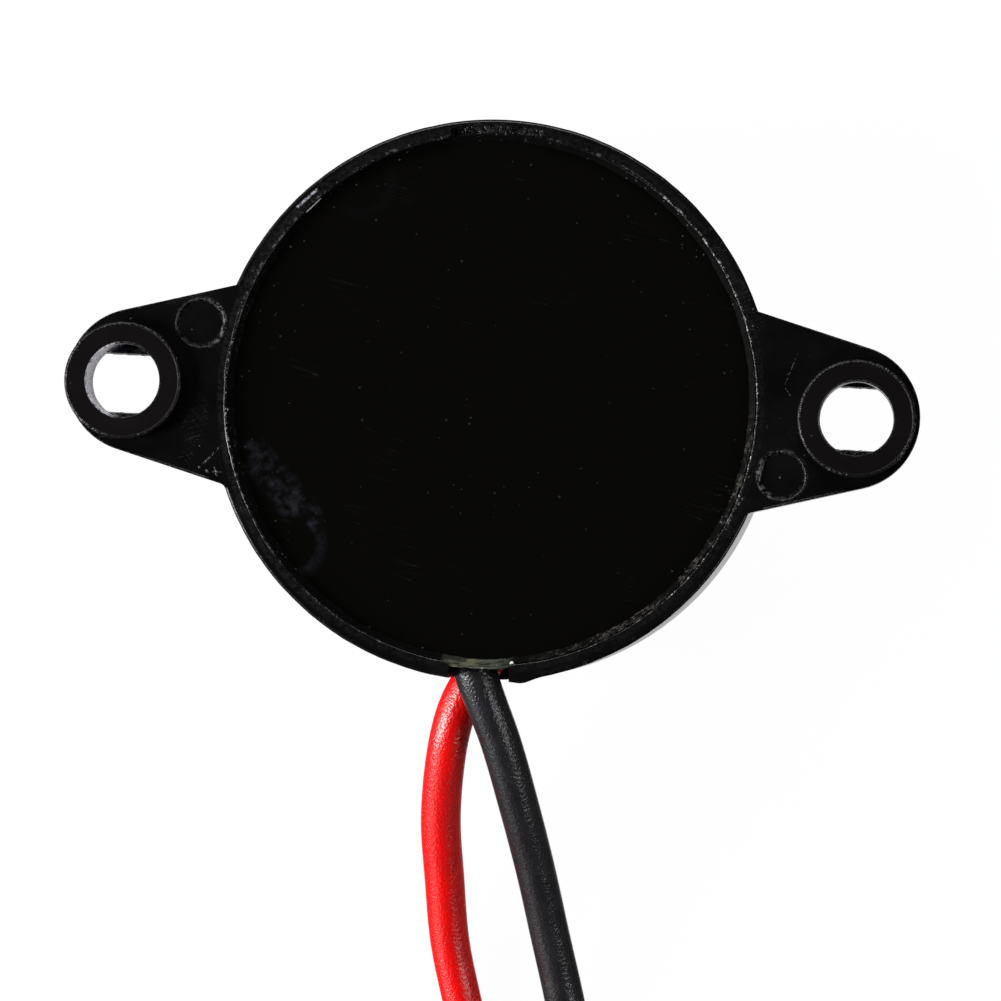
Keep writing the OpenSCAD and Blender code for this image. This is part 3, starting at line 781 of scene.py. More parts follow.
@dataclass
class Sketch:
    """Points and faces in millimetres, gathered before they become one Blender mesh."""

    edge_row: ClassVar[float] = 0.08
    edge_steps: ClassVar[int] = 4

    points: list[Point3] = field(default_factory=list)
    faces: list[tuple[int, ...]] = field(default_factory=list)
    finish_of: list[int] = field(default_factory=list)
    flat: list[bool] = field(default_factory=list)
    finish: int = 0

    def put(self, points: Line) -> range:
        """Adds points.

        Args:
            points: Their places in millimetres.

        Returns:
            Their numbers.
        """
        start = len(self.points)
        self.points.extend(tuple(float(v) for v in p) for p in points)
        return range(start, len(self.points))

    def face(self, *corners: int, flat: bool = False) -> None:
        """Adds a face.

        Args:
            corners: The numbers of its points.
            flat: Whether it is shaded flat.
        """
        if len(set(corners)) > 2:
            self.faces.append(tuple(corners))
            self.finish_of.append(self.finish)
            self.flat.append(flat)

    def loft(self, lines: Sequence[Line], across: bool = True, along: bool = False) -> list[range]:
        """Joins lines of equal length into a skin.

        Args:
            lines: The lines of points.
            across: Whether each line closes on itself.
            along: Whether the last line joins the first.

        Returns:
            The numbers of each line's points.
        """
        rows = [self.put(line) for line in lines]
        count = len(rows[0])
        pairs = list(zip(rows, rows[1:])) + ([(rows[-1], rows[0])] if along else [])
        for one, two in pairs:
            for i in range(count if across else count - 1):
                j = (i + 1) % count
                self.face(one[i], one[j], two[j], two[i])
        return rows

    def fill(self, loops: Sequence[Sequence[int]], up: bool) -> None:
        """Fills a flat outline, with holes, with flat faces.

        Args:
            loops: The numbers of the outline's points, then those of each hole.
            up: Whether the faces look up.
        """
        flat_loops = [[Vector((*self.points[i][:2], 0)) for i in loop] for loop in loops]
        numbers = [i for loop in loops for i in loop]
        for a, b, c in tessellate_polygon(flat_loops):
            p, q, r = (Vector(self.points[numbers[k]]) for k in (a, b, c))
            turned = ((q - p).cross(r - p)).z > 0
            order = (a, b, c) if turned == up else (a, c, b)
            self.face(*(numbers[k] for k in order), flat=True)

    def revolve(
        self, profile: Sequence[Point2], columns: int, at: Point2 = (0, 0), closed: bool = False
    ) -> None:
        """Turns a profile round a vertical axis.

        Args:
            profile: Radius and height of each point.
            columns: The number of columns round the axis.
            at: The axis.
            closed: Whether the profile closes on itself.
        """
        lines = []
        for k in range(columns):
            c, s = polar(1.0, 360.0 * k / columns)
            lines.append([(at[0] + r * c, at[1] + r * s, z) for r, z in profile])
        self.loft(lines, across=closed, along=True)

    @staticmethod
    def aside(loop: Sequence[Point2]) -> np.ndarray:
        """Gives the direction that lies to the left of a loop at each of its points.

        Args:
            loop: The loop's points.

        Returns:
            A unit vector for each point.
        """
        ring = np.array(loop, float)
        ahead = np.roll(ring, -1, 0) - ring
        ahead /= np.linalg.norm(ahead, axis=1)[:, None]
        tangent = ahead + np.roll(ahead, 1, 0)
        tangent /= np.linalg.norm(tangent, axis=1)[:, None]
        return np.stack([-tangent[:, 1], tangent[:, 0]], 1)

    @staticmethod
    def rounding(
        ring: np.ndarray, inward: np.ndarray, aside: np.ndarray, level: float, sign: int, radius: float
    ) -> list[Line]:
        """Gives the lines of a plate's rounded edge, from its side to a little way in on its flat face.

        Args:
            ring: The outline.
            inward: The way in at each point, zero where the edge stays square.
            aside: The same, never zero.
            level: The height of the flat face.
            sign: 1 for an underside and -1 for a top.
            radius: The edge's radius.

        Returns:
            The lines of points.
        """
        lines = []
        for k in range(Sketch.edge_steps + 1):
            turn = math.pi / 2 * k / Sketch.edge_steps
            shift, height = radius * (1 - math.cos(turn)), level + sign * radius * (1 - math.sin(turn))
            lines.append([(*(p + n * shift), height) for p, n in zip(ring, inward)])
        lines.append([(*(p + n * (radius + Sketch.edge_row)), level) for p, n in zip(ring, aside)])
        return lines

    def plate(
        self,
        outline: Sequence[Point2],
        holes: Sequence[Sequence[Point2]],
        low: float,
        high: float,
        edge: float,
        dimples: Sequence[tuple[Sequence[Point2], float]] = (),
        square_in: float = 0.0,
    ) -> None:
        """Makes a plate with rounded edges.

        Args:
            outline: The outline, anticlockwise.
            holes: The holes, clockwise.
            low: The height of its underside.
            high: The height of its top.
            edge: The radius of its edges.
            dimples: The clockwise outline and the depth of each dimple in its top.
            square_in: The distance from the origin within which the edge stays square.
        """
        dimple_edge, dimple_draft = 0.04, 0.03
        tops, bottoms = [], []
        for loop in (outline, *holes):
            ring, aside = np.array(loop, float), Sketch.aside(loop)
            square = (np.linalg.norm(ring, axis=1) < square_in) & (loop is outline)
            inward = np.where(square[:, None], 0.0, aside)
            foot = Sketch.rounding(ring, inward, aside, low, 1, edge)[::-1]
            margin = edge + self.edge_row
            side = [[(*p, z) for p in ring] for z in (low + margin, high - margin)]
            rows = self.loft([*foot, *side, *Sketch.rounding(ring, inward, aside, high, -1, edge)])
            tops.append(rows[-1])
            bottoms.append(rows[0])
        for loop, deep in dimples:
            ring, aside = np.array(loop, float), Sketch.aside(loop)
            floor = [(*(p - n * dimple_draft), high - deep) for p, n in zip(ring, aside)]
            rows = self.loft([floor, *Sketch.rounding(ring, aside, aside, high, -1, dimple_edge)])
            tops.append(rows[-1])
            self.fill([rows[0]], up=True)
        self.fill(tops, up=True)
        self.fill(bottoms, up=False)

    def piece(self, name: str, *finishes: Finish, sharp_deg: float = 38.0) -> bpy.types.Object:
        """Makes the Blender object.

        Args:
            name: The piece's name.
            finishes: The finish of each number that faces carry.
            sharp_deg: The angle from which an edge is shaded as sharp.

        Returns:
            The object, linked to the scene, with its faces turned outwards.
        """
        mesh = bpy.data.meshes.new(name)
        mesh.from_pydata([tuple(v * MM for v in p) for p in self.points], [], self.faces)
        for finish in finishes:
            mesh.materials.append(finish.material())
        mesh.polygons.foreach_set("material_index", self.finish_of)
        mesh.polygons.foreach_set("use_smooth", [not flat for flat in self.flat])
        mesh.validate()
        mesh.update()
        Sketch.tidy(mesh)
        mesh.set_sharp_from_angle(angle=math.radians(sharp_deg))
        made = bpy.data.objects.new(name, mesh)
        bpy.context.scene.collection.objects.link(made)
        return made

    @staticmethod
    def tidy(mesh: bpy.types.Mesh) -> None:
        """Merges points that coincide, turns each closed skin outwards and marks the points on outer edges.

        Args:
            mesh: The mesh.
        """
        work = bmesh.new()
        work.from_mesh(mesh)
        bmesh.ops.remove_doubles(work, verts=work.verts, dist=0.0008 * MM)
        bmesh.ops.dissolve_degenerate(work, dist=0.0005 * MM, edges=work.edges)
        bmesh.ops.recalc_face_normals(work, faces=work.faces)
        mark = work.verts.layers.float.new(EDGE_MARK)
        for point in work.verts:
            point[mark] = float(any(edge.calc_face_angle_signed(0.0) > 0.14 for edge in point.link_edges))
        work.to_mesh(mesh)
        work.free()


def stands_for(piece: bpy.types.Object, slot: str, *nodes: str) -> bpy.types.Object:
    """Lets a piece ride on the part and stand for nodes of the frame.

    Args:
        piece: The piece.
        slot: Not used.
        nodes: The nodes it stands for.

    Returns:
        The piece.
    """
    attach(piece, ROOT)
    if nodes:
        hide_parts(*nodes)
    return piece


# ---- Cup, board and adhesive ----


@dataclass
class MouldedCup:
    """The moulded cup with its stepped bore, lead notch, rim pocket and two mounting ears."""

    radius: float = 11.45
    shift: Point2 = (0.025, -0.055)
    height: float = 11.2
    seat_r: float = 10.8
    bore_r: float = 10.3
    chamber_r: float = 8.8
    front_wall: float = 1.2
    ledge_z: float = 3.2
    seat_z: float = 9.7
    sound_r: float = 1.7
    dish_r: float = 4.0
    dish_depth: float = 0.3
    front_edge: float = 1.0
    rim_edge: float = 0.13
    notch: Point2 = (-1.15, 1.32)
    notch_z: float = 6.2
    pocket: Point2 = (-2.225, 1.625)
    pocket_r: float = 11.2
    pocket_z: float = 10.85
    # The angle from the notch, the spread and the size of each swelling of the rim beside it.
    swells: tuple[Point3, ...] = ((9.2, 2.6, 0.15), (-7.3, 0.45, 0.135))
    swell_rise: float = 1.5
    ripple: float = 0.012
    step_deg: float = 0.9
    ear_low: float = 9.5
    ear_top: float = 11.1995
    ear_root: float = 11.1
    ear_end_x: Point2 = (14.54, 14.43)
    ear_end_r: float = 2.95
    ear_taper: float = 15.3
    ear_edge: float = 0.04
    ear_fillet: float = 0.3
    hubs: tuple[Point2, Point2] = ((14.915, -0.05), (-14.99, -0.055))
    hole_r: float = 1.5
    flats: tuple[Point2, Point2] = ((1.35, 1.287), (1.169, 1.315))
    flat_draft: float = 0.06
    flat_top: float = 10.0
    boss_r: float = 2.4
    boss_top: float = 12.0
    boss_edge: float = 0.11
    hole_edge: float = 0.03
    pin_r: float = 0.95
    pin_depth: float = 0.12
    pins: tuple[Point2, Point2] = ((12.0, -2.52), (-12.0, 2.45))

    def section(self) -> list[Point2]:
        """Gives the cup's closed section.

        Returns:
            Radius and height of each point, from the middle of the front wall's outer face.
        """
        corners = [
            (7.0, 0.0, 0.0),
            (self.radius, 0.0, self.front_edge),
            (self.radius, self.height, self.rim_edge),
            (self.pocket_r, self.height, 0.0),
            (self.pocket_r - 0.001, self.height, 0.0),
            (self.seat_r, self.height, 0.05),
            (self.seat_r, self.seat_z, 0.0),
            (self.bore_r, self.seat_z, 0.05),
            (self.bore_r, self.ledge_z, 0.0),
            (self.chamber_r, self.ledge_z, 0.06),
            (self.chamber_r, self.front_wall, 0.25),
            (self.sound_r, self.front_wall, 0.08),
            (self.sound_r, self.dish_depth, 0.08),
            (self.dish_r, self.dish_depth, 0.1),
            (self.dish_r, 0.0, 0.12),
            (7.0, 0.0, 0.0),
        ]
        return eased([c[:2] for c in corners], [c[2] for c in corners], 5, 0.07)[:-1]

    def columns(self) -> list[tuple[str, float]]:
        """Gives the columns round the cup.

        Returns:
            For each, what it is part of and either its angle, or its x in the notch or the pocket.
        """
        left, right = self.pocket
        edge = 8.6
        near = (0.0, 0.5, 1.0, 1.5, 2.0, 2.6, 3.3, 4.2)
        made: list[tuple[str, float]] = [("plain", -90 + edge + k) for k in near]
        made += [("plain", a) for a in np.arange(-76.4, 81.1, self.step_deg)]
        made += [("beside+", right), *(("pocket", x) for x in np.linspace(right, left, 9)), ("beside+", left)]
        made += [("plain", a) for a in np.arange(103.3, 256.5, self.step_deg)]
        made += [("plain", 270 - edge - k) for k in reversed(near)]
        low, high = self.notch
        made += [("beside-", low), *(("notch", x) for x in np.linspace(low, high, 7)), ("beside-", high)]
        return made

    def bulge(self, angle: float, r: float, z: float) -> float:
        """Gives how far the rim swells outwards beside the lead notch.

        Args:
            angle: The angle of the point in degrees.
            r: Its radius.
            z: Its height.

        Returns:
            The swelling at that point.
        """
        rise = (z - self.notch_z - self.swell_rise) / self.swell_rise
        if r < self.seat_r + 0.2 or rise < 0:
            return 0.0
        off = (angle + 90 + 180) % 360 - 180
        total = sum(size * math.exp(-(((off - at) / wide) ** 2)) for at, wide, size in self.swells)
        return total * min(1.0, rise)

    def build_cup(self, sketch: Sketch) -> None:
        """Adds the cup, with slight moulding marks on its rim.

        Args:
            sketch: Where the mesh goes.
        """
        lines = []
        for kind, value in self.columns():
            line = []
            for r, z in self.section():
                if kind == "plain":
                    angle = value
                elif kind in ("pocket", "beside+"):
                    angle = 90 - math.degrees(math.asin(value / max(r, self.seat_r - 0.8)))
                else:
                    angle = -90 + math.degrees(math.asin(value / max(r, self.bore_r - 0.5)))
                if kind == "notch":
                    z = min(z, self.notch_z)
                if kind == "pocket" and r < self.pocket_r - 0.0005:
                    z = min(z, self.pocket_z)
                if z > self.height - 0.3 and kind == "plain":
                    r += self.ripple * wobble(angle, 1.3, (5, 17, 41, 83, 131))
                r += self.bulge(angle, r, z)
                x, y = polar(r, angle)
                line.append((x + self.shift[0], y + self.shift[1], z))
            lines.append(line)
        sketch.loft(lines, across=True, along=True)

    def ear_outline(self, side: int) -> list[Point2]:
        """Gives an ear's outline.

        Args:
            side: 1 for the right ear and -1 for the left one.

        Returns:
            Its points, anticlockwise.
        """
        taper, end_x = math.radians(self.ear_taper), self.ear_end_x[side < 0]
        across = np.array([math.sin(taper), -math.cos(taper)])
        along = np.array([math.cos(taper), math.sin(taper)])
        offset = end_x * math.sin(taper) + self.ear_end_r
        off = offset + self.ear_fillet
        hub = off * across + math.sqrt((self.radius + self.ear_fillet) ** 2 - off**2) * along
        start = math.atan2(-hub[1], -hub[0])
        sweep = (math.atan2(-across[1], -across[0]) - start + math.pi) % (2 * math.pi) - math.pi
        root = math.degrees(math.asin(abs(hub[1]) / np.linalg.norm(hub)))
        turns = np.linspace(start, start + sweep, 9)
        line = [polar(self.ear_root, -root - 0.6)]
        line += [tuple(hub + self.ear_fillet * np.array([math.cos(a), math.sin(a)])) for a in turns]
        turn = 90 - self.ear_taper
        line += [(end_x + x, y) for x, y in (polar(self.ear_end_r, a) for a in np.linspace(-turn, turn, 61))]
        reach = math.sqrt(self.ear_root**2 - offset**2)
        upper = (across[0] * offset + reach * along[0], -across[1] * offset - reach * along[1])
        line.append(upper)
        top = math.degrees(math.atan2(upper[1], upper[0]))
        line += [polar(self.ear_root, a) for a in np.linspace(top, -root, 24)[1:-1]]
        return [(-x, y) for x, y in reversed(line)] if side < 0 else line

    def ring(self, centre: Point2, radius: float, count: int = 64) -> list[Point2]:
        """Gives a clockwise circle, as a hole's outline."""
        turns = [polar(radius, -360 * k / count) for k in range(count)]
        return [(centre[0] + x, centre[1] + y) for x, y in turns]

    def build_ear(self, sketch: Sketch, side: int) -> None:
        """Adds an ear with its screw hole, its raised ring, the flats in its hole and its pin mark.

        Args:
            sketch: Where the mesh goes.
            side: 1 for the right ear and -1 for the left one.
        """
        hub, pin = self.hubs[side < 0], self.pins[side < 0]
        dish = self.ring(pin, self.pin_r, 48)
        sketch.plate(
            self.ear_outline(side),
            [self.ring(hub, self.hole_r + 0.06)],
            self.ear_low,
            self.ear_top,
            self.ear_edge,
            dimples=[(dish, self.pin_depth)],
            square_in=self.ear_root + 0.02,
        )
        top, low, root = self.boss_top, self.ear_low + 0.03, self.ear_top - 0.2
        mid = (self.hole_r + self.boss_r) / 2 - 0.05
        outer = [(mid, root), (self.boss_r, root), (self.boss_r, top), (mid, top)]
        outer = eased(outer, [0, 0, self.boss_edge, 0], 5, 0.05)
        inner = eased([(mid, top), (self.hole_r, top), (self.hole_r, low)], [0, self.hole_edge, 0], 4, 0.05)
        sketch.revolve([(mid, low), *outer, *inner[1:]], 96, hub, closed=True)
        for turn, flat_y in zip((1, -1), self.flats[side < 0]):
            self.build_flat(sketch, hub, turn, flat_y)

    def build_flat(self, sketch: Sketch, hub: Point2, turn: int, flat_y: float) -> None:
        """Adds the segment behind one flat of a screw hole, with a sloping face and a ragged lower edge.

        Args:
            sketch: Where the mesh goes.
            hub: The hole's centre.
            turn: 1 for the flat on the +Y side and -1 for the other.
            flat_y: How far from the hole's centre it lies.
        """
        reach, count = self.hole_r + 0.1, 25
        lines = []
        for y, z, rag in (
            (flat_y + 0.02, self.flat_top, 0.0),
            (flat_y - 0.01, self.flat_top - 0.03, 0.0),
            (flat_y - self.flat_draft, self.ear_low + 0.03, 0.014),
        ):
            half = math.sqrt(reach**2 - y**2)
            span = np.linspace(-half, half, count)
            face = [(x, y + rag * wobble(x * 90 + hub[0] * 7, turn * 2.0, (7, 13, 29))) for x in span]
            back = [(x, math.sqrt(reach**2 - x**2)) for x in span[-2:0:-1]]
            lines.append([(hub[0] + x, hub[1] + turn * v, z) for x, v in face + back])
        rows = sketch.loft(lines)
        sketch.fill([rows[0]], up=True)
        sketch.fill([rows[-1]], up=False)

    def build(self) -> bpy.types.Object:
        """Makes the housing as one piece.

        Returns:
            The piece.
        """
        sketch = Sketch()
        self.build_cup(sketch)
        for side in (1, -1):
            self.build_ear(sketch, side)
        return stands_for(sketch.piece("moulded_cup", ABS, sharp_deg=32), "black_abs", "housing")


@dataclass
class LacqueredBoard:
    """The round board, bare below and at its edge, with a thick lacquer over its rear face."""

    radius: float = 10.7
    low: float = 9.7
    top: float = 10.7
    lacquer_r: float = 10.62
    columns: int = 240

    def build(self) -> bpy.types.Object:
        """Makes the board with its lacquer as one piece.

        Returns:
            The piece.
        """
        sketch = Sketch()
        edge = [(0.0, self.low), (9.0, self.low), (self.radius, self.low), (self.radius, self.top - 0.08)]
        sketch.revolve(edge, self.columns)
        sketch.finish = 1
        lines = []
        for k in range(self.columns):
            angle = 360.0 * k / self.columns
            out = self.lacquer_r + 0.02 * wobble(angle, 0.4)
            rim = [(self.radius, self.top - 0.08), (out, self.top - 0.015), (out - 0.12, self.top)]
            pool = [(r, self.top - 0.006) for r in (9.6, 8.0, 6.0, 4.0, 2.0, 0.0)]
            lines.append([(*polar(r, angle), z) for r, z in rim + pool])
        sketch.loft(lines, across=False, along=True)
        piece = sketch.piece("lacquered_board", LAMINATE, LACQUER, sharp_deg=50)
        return stands_for(piece, "black_coating", "circuit_board")


@dataclass
class EdgeBead:
    """The adhesive in the gap round the board, uneven along its edge, with a lip over the leads."""

    inner_r: float = 10.55
    outer_r: float = 10.8
    low: float = 9.72
    board_top: float = 10.7
    top: float = 11.12
    pocket_angle: float = 90.0
    pocket_half: float = 12.0
    pocket_dip: float = 0.18
    lip_x: float = 1.4
    lip_r: float = 10.98
    lip_low: float = 9.95
    columns: int = 720

    def section(self, angle: float) -> list[Point2]:
        """Gives the bead's closed section.

        Args:
            angle: Where round the board it lies.

        Returns:
            Radius and height of each point.
        """
        uneven, fine = wobble(angle, 2.1, (2, 5, 11, 23, 37)), wobble(angle, 5.3, (31, 67, 113, 179, 251))
        outer, low = self.outer_r, self.low
        inner = self.inner_r - 0.05 * uneven - 0.03 * fine
        top = self.top + 0.025 * uneven + 0.015 * fine
        if abs(angle - self.pocket_angle) < self.pocket_half:
            top -= self.pocket_dip
        x, y = polar(outer, angle)
        if y < 0 and abs(x) < self.lip_x:
            blend = min(1.0, (self.lip_x - abs(x)) / 0.25) ** 0.5
            outer += (self.lip_r - self.outer_r) * blend + 0.03 * fine
            inner += 0.05 * blend
            low = self.lip_low
        back = self.outer_r - 0.12
        return [
            (back, low),
            (outer, low + 0.02 * uneven),
            (outer, top - 0.05),
            (outer + 0.03, top),
            (outer - 0.03, top + 0.01),
            ((inner + outer) / 2 + 0.04, self.board_top + 0.35 * (top - self.board_top)),
            (inner + 0.02, self.board_top + 0.02),
            (inner, self.board_top - 0.02),
            (back, self.board_top - 0.04),
        ]

    def build(self) -> bpy.types.Object:
        """Makes the bead.

        Returns:
            The piece.
        """
        sketch = Sketch()
        angles = [360.0 * k / self.columns for k in range(self.columns)]
        sketch.loft([[(*polar(r, a), z) for r, z in self.section(a)] for a in angles], along=True)
        return stands_for(sketch.piece("edge_bead", ADHESIVE, sharp_deg=60), "sealant", "board_sealant")


# ---- Leads ----


class Wrap(Enum):
    """Which of the coil's two turns a lead takes."""

    OUTER = 9.6
    INNER = 8.0


@dataclass
class LeadCoil:
    """The place and the shape of the coil that both leads are wound in."""

    centre: Point2 = (-4.4, -37.4)
    pitch: float = 1.6
    climb_from: float = 62.0
    climb_to: float = 14.0
    tie_angle: float = -20.0
    tie_lift: float = 0.37
    # How far beside the tie the leads still lie at full lift, and where they are down again.
    tie_reach: Point2 = (8.0, 17.0)

    def point(self, wrap: Wrap, turned_deg: float) -> Point3:
        """Gives a point on a lead's centreline in the coil.

        Args:
            wrap: Which turn the lead takes.
            turned_deg: How far it has gone clockwise from the place where it comes in.

        Returns:
            The point, in millimetres.
        """
        start, end = 360 - self.climb_from, 360 - self.climb_to
        share = min(1.0, max(0.0, (turned_deg - start) / (end - start)))
        height = self.pitch / 2 + self.pitch * share * share * (3 - 2 * share)
        away = abs((turned_deg + self.tie_angle + 180) % 360 - 180)
        full, none = self.tie_reach
        near = max(0.0, min(1.0, (none - away) / (none - full)))
        height += self.tie_lift * near * near * (3 - 2 * near)
        x, y = polar(wrap.value, -turned_deg)
        return self.centre[0] + x, self.centre[1] + y, height


@dataclass
class FlyingLead:
    """One insulated lead from its stripped end in the cup, through the notch, into the coil."""

    name: str
    route: tuple[Point3, ...]
    wrap: Wrap
    turn_deg: float
    finish: PvcInsulation
    exit: Point3
    length: float = 103.0
    diameter: float = 1.6
    skin: float = 0.004
    end_edge: float = 0.05
    loose: float = 0.035
    # The rings between which the wider insulation near the cup narrows to its usual size.
    loose_rings: Point2 = (38.0, 58.0)
    pinch: float = 0.0
    pinch_y: float = -11.3
    pinch_half: float = 1.3
    sides: int = 24
    tip_length: float = 5.0
    strand_r: float = 0.128
    strand_off: float = 0.245
    lay_deg: float = 42.0
    coil: LeadCoil = field(default_factory=LeadCoil)

    def centreline(self) -> list[Vector]:
        """Gives the lead's centreline.

        Returns:
            Its points, in millimetres, about half a millimetre apart.
        """
        anchors = [Vector(p) for p in self.route]
        turns = [Vector(self.coil.point(self.wrap, a)) for a in np.arange(0, self.turn_deg + 0.1, 4.0)]
        padded = [2 * anchors[0] - anchors[1], *anchors, turns[1]]
        line: list[Vector] = []
        for a, b, c, d in zip(padded, padded[1:], padded[2:], padded[3:]):
            steps = max(2, round((c - b).length / 0.5))
            for k in range(steps):
                line.append(FlyingLead.between(a, b, c, d, k / steps))
        return line + turns

    @staticmethod
    def between(a: Vector, b: Vector, c: Vector, d: Vector, share: float) -> Vector:
        """Gives a point of the smooth curve through four anchors.

        Args:
            a: The anchor before.
            b: The anchor that the stretch starts at.
            c: The anchor that the stretch ends at.
            d: The anchor after.
            share: How far along the stretch the point is.

        Returns:
            The point.
        """
        ends = [0.0]
        for p, q in ((a, b), (b, c), (c, d)):
            ends.append(ends[-1] + math.sqrt(max((q - p).length, 1e-6)))
        t = ends[1] + share * (ends[2] - ends[1])
        points = [a, b, c, d]
        for spans in (((0, 1), (1, 2), (2, 3)), ((0, 2), (1, 3)), ((1, 2),)):
            steps = [(ends[i], ends[j]) for i, j in spans]
            points = [
                p * ((high - t) / (high - low)) + q * ((t - low) / (high - low))
                for (low, high), p, q in zip(steps, points, points[1:])
            ]
        return points[0]

    @staticmethod
    def tube(sketch: Sketch, line: Sequence[Vector], radius: Callable[[int, int], float], sides: int) -> None:
        """Adds a tube along a line, with both ends capped.

        Args:
            sketch: Where the mesh goes.
            line: The centreline.
            radius: Gives the radius for the number of a ring and of a side.
            sides: The number of sides.
        """
        rows = []
        aside = Vector((1, 0, 0))
        for k, here in enumerate(line):
            ahead = (line[min(k + 1, len(line) - 1)] - line[max(k - 1, 0)]).normalized()
            aside = (aside - ahead * aside.dot(ahead)).normalized()
            up = ahead.cross(aside)
            turns = [2 * math.pi * i / sides for i in range(sides)]
            spokes = [math.cos(t) * aside + math.sin(t) * up for t in turns]
            rows.append([here + radius(k, i) * spoke for i, spoke in enumerate(spokes)])
        numbers = sketch.loft(rows)
        sketch.face(*reversed(numbers[0]), flat=True)
        sketch.face(*numbers[-1], flat=True)

    def build_tip(self, end: Vector, ahead: Vector) -> bpy.types.Object:
        """Makes the stripped end, seven tinned strands with a slight lay.

        Args:
            end: The middle of the insulation's end.
            ahead: The direction of the lead there.

        Returns:
            The piece.
        """
        sketch = Sketch()
        up = Vector((0, 0, 1))
        aside = ahead.cross(up).normalized()
        steps = 20
        for strand in range(7):
            line = []
            for k in range(steps + 1):
                run = self.tip_length * k / steps
                turn = math.radians(60 * strand + self.lay_deg * run)
                off = 0.0 if strand == 6 else self.strand_off + 0.01 * math.sin(k * 0.9 + strand)
                line.append(end + ahead * (run - 0.1) + off * (math.cos(turn) * aside + math.sin(turn) * up))
            self.tube(sketch, line, lambda k, i: self.strand_r * (0.55 if k == steps else 1.0), 8)
        piece = sketch.piece(f"{self.name}_strands", TINNED)
        return stands_for(piece, "tin", f"{self.name}_tip")

    def build(self) -> list[bpy.types.Object]:
        """Returns:
            The lead and its tip.
        """
        line = self.centreline()
        seed = len(self.name)

        def radius(k: int, i: int) -> float:
            """Gives the slightly uneven radius of the insulation.

            Args:
                k: Which ring along the line.
                i: Which point around it.

            Returns:
                The radius there.
            """
            full, none = self.loose_rings
            swell = 0.008 * math.sin(k * 0.21 + seed) + 0.005 * math.sin(k * 0.067 + i * 0.3)
            swell += self.loose * max(0.0, min(1.0, (none - k) / (none - full)))
            swell += self.pinch * math.exp(-((line[k].y - self.pinch_y) / self.pinch_half) ** 2)
            end = self.end_edge if k in (0, len(line) - 1) else 0.0
            return self.diameter / 2 + swell - end - self.skin

        sketch = Sketch()
        self.tube(sketch, line, radius, self.sides)
        lead = sketch.piece(f"{self.name}_insulation", self.finish)
        stands_for(lead, f"{self.name}_pvc", f"{self.name}_lead", "lead_coil")
        ahead = (line[-1] - line[-2]).normalized()
        ahead.z = 0.0
        tip = self.build_tip(line[-1], ahead.normalized())
        total = sum((b - a).length for a, b in zip(line, line[1:]))
        log.info("%s lead: %.1f mm of insulation", self.name, total)
        [tuple(v * MM for v in p) for p in line]
        return [lead, tip]


@dataclass
class CoilTie:
    """The cable tie that holds the coil, with its locking head and its cut tail."""

    coil: LeadCoil = field(default_factory=LeadCoil)
    inner: float = 7.05
    outer: float = 10.55
    tall: float = 3.9
    width: float = 2.4
    thick: float = 0.35
    bend_r: float = 0.9
    groove: float = 1.3
    groove_deep: float = 0.06
    head: Point3 = (1.5, 3.0, 2.6)
    head_z: float = 0.4
    tail_x: Point2 = (0.35, 0.75)
    tail_half: float = 1.05
    tail_z: Point2 = (2.8, 3.75)

    def path(self) -> list[Point2]:
        """Gives the band's closed centreline across the coil.

        Returns:
            Distance from the coil's centre and height of each point.
        """
        half, r = self.thick / 2, self.bend_r
        near, far = self.inner - half + r, self.outer + half - r
        low, high = half + r, self.tall - half + 0.15 - r
        made: list[Point2] = []
        for centre, first in (((far, low), -90), ((far, high), 0), ((near, high), 90), ((near, low), 180)):
            corner = [polar(r, first + 90 * k / 8) for k in range(9)]
            made += [(centre[0] + x, centre[1] + z) for x, z in corner]
        return made

    def build_band(self, sketch: Sketch) -> None:
        """Adds the band, with a groove along its outer face.

        Args:
            sketch: Where the mesh goes.
        """
        path = self.path()
        t, w, g = self.thick / 2, self.width / 2, self.groove / 2
        section = [(-w, -t), (-w, t - 0.08), (-w + 0.08, t), (-g - 0.1, t), (-g, t - self.groove_deep)]
        section += [(-y, out) for y, out in reversed(section)]
        rows = []
        for (x0, z0), (x, z), (x1, z1) in zip(path[-1:] + path[:-1], path, path[1:] + path[:1]):
            size = math.hypot(x1 - x0, z1 - z0)
            out_x, out_z = (z1 - z0) / size, (x0 - x1) / size
            rows.append([(x + out_x * d, y, z + out_z * d) for y, d in section])
        sketch.loft(rows, across=True, along=True)

    def build(self) -> bpy.types.Object:
        """Makes the tie.

        Returns:
            The piece.
        """
        sketch = Sketch()
        self.build_band(sketch)
        deep, wide, tall = self.head
        outline = [(0, -wide / 2), (deep, -wide / 2), (deep, wide / 2), (0, wide / 2), (0, 0)]
        start = self.outer + self.thick * 0.6
        head = [(start + x, y) for x, y in eased(outline, [0, 0.3, 0.3, 0, 0], 4)[:-1]]
        sketch.plate(head, [], self.head_z + 0.05, self.head_z + tall, 0.18)
        near, far = (start + x for x in self.tail_x)
        half = self.tail_half
        sketch.plate([(near, -half), (far, -half), (far, half), (near, half)], [], *self.tail_z, 0.06)
        c, s = polar(1.0, self.coil.tie_angle)
        at_x, at_y = self.coil.centre
        sketch.points = [(at_x + x * c - y * s, at_y + x * s + y * c, z) for x, y, z in sketch.points]
        return stands_for(sketch.piece("cable_tie", NYLON), "nylon", "coil_tie")


# ---- Pieces kept from the frame, studio and main ----


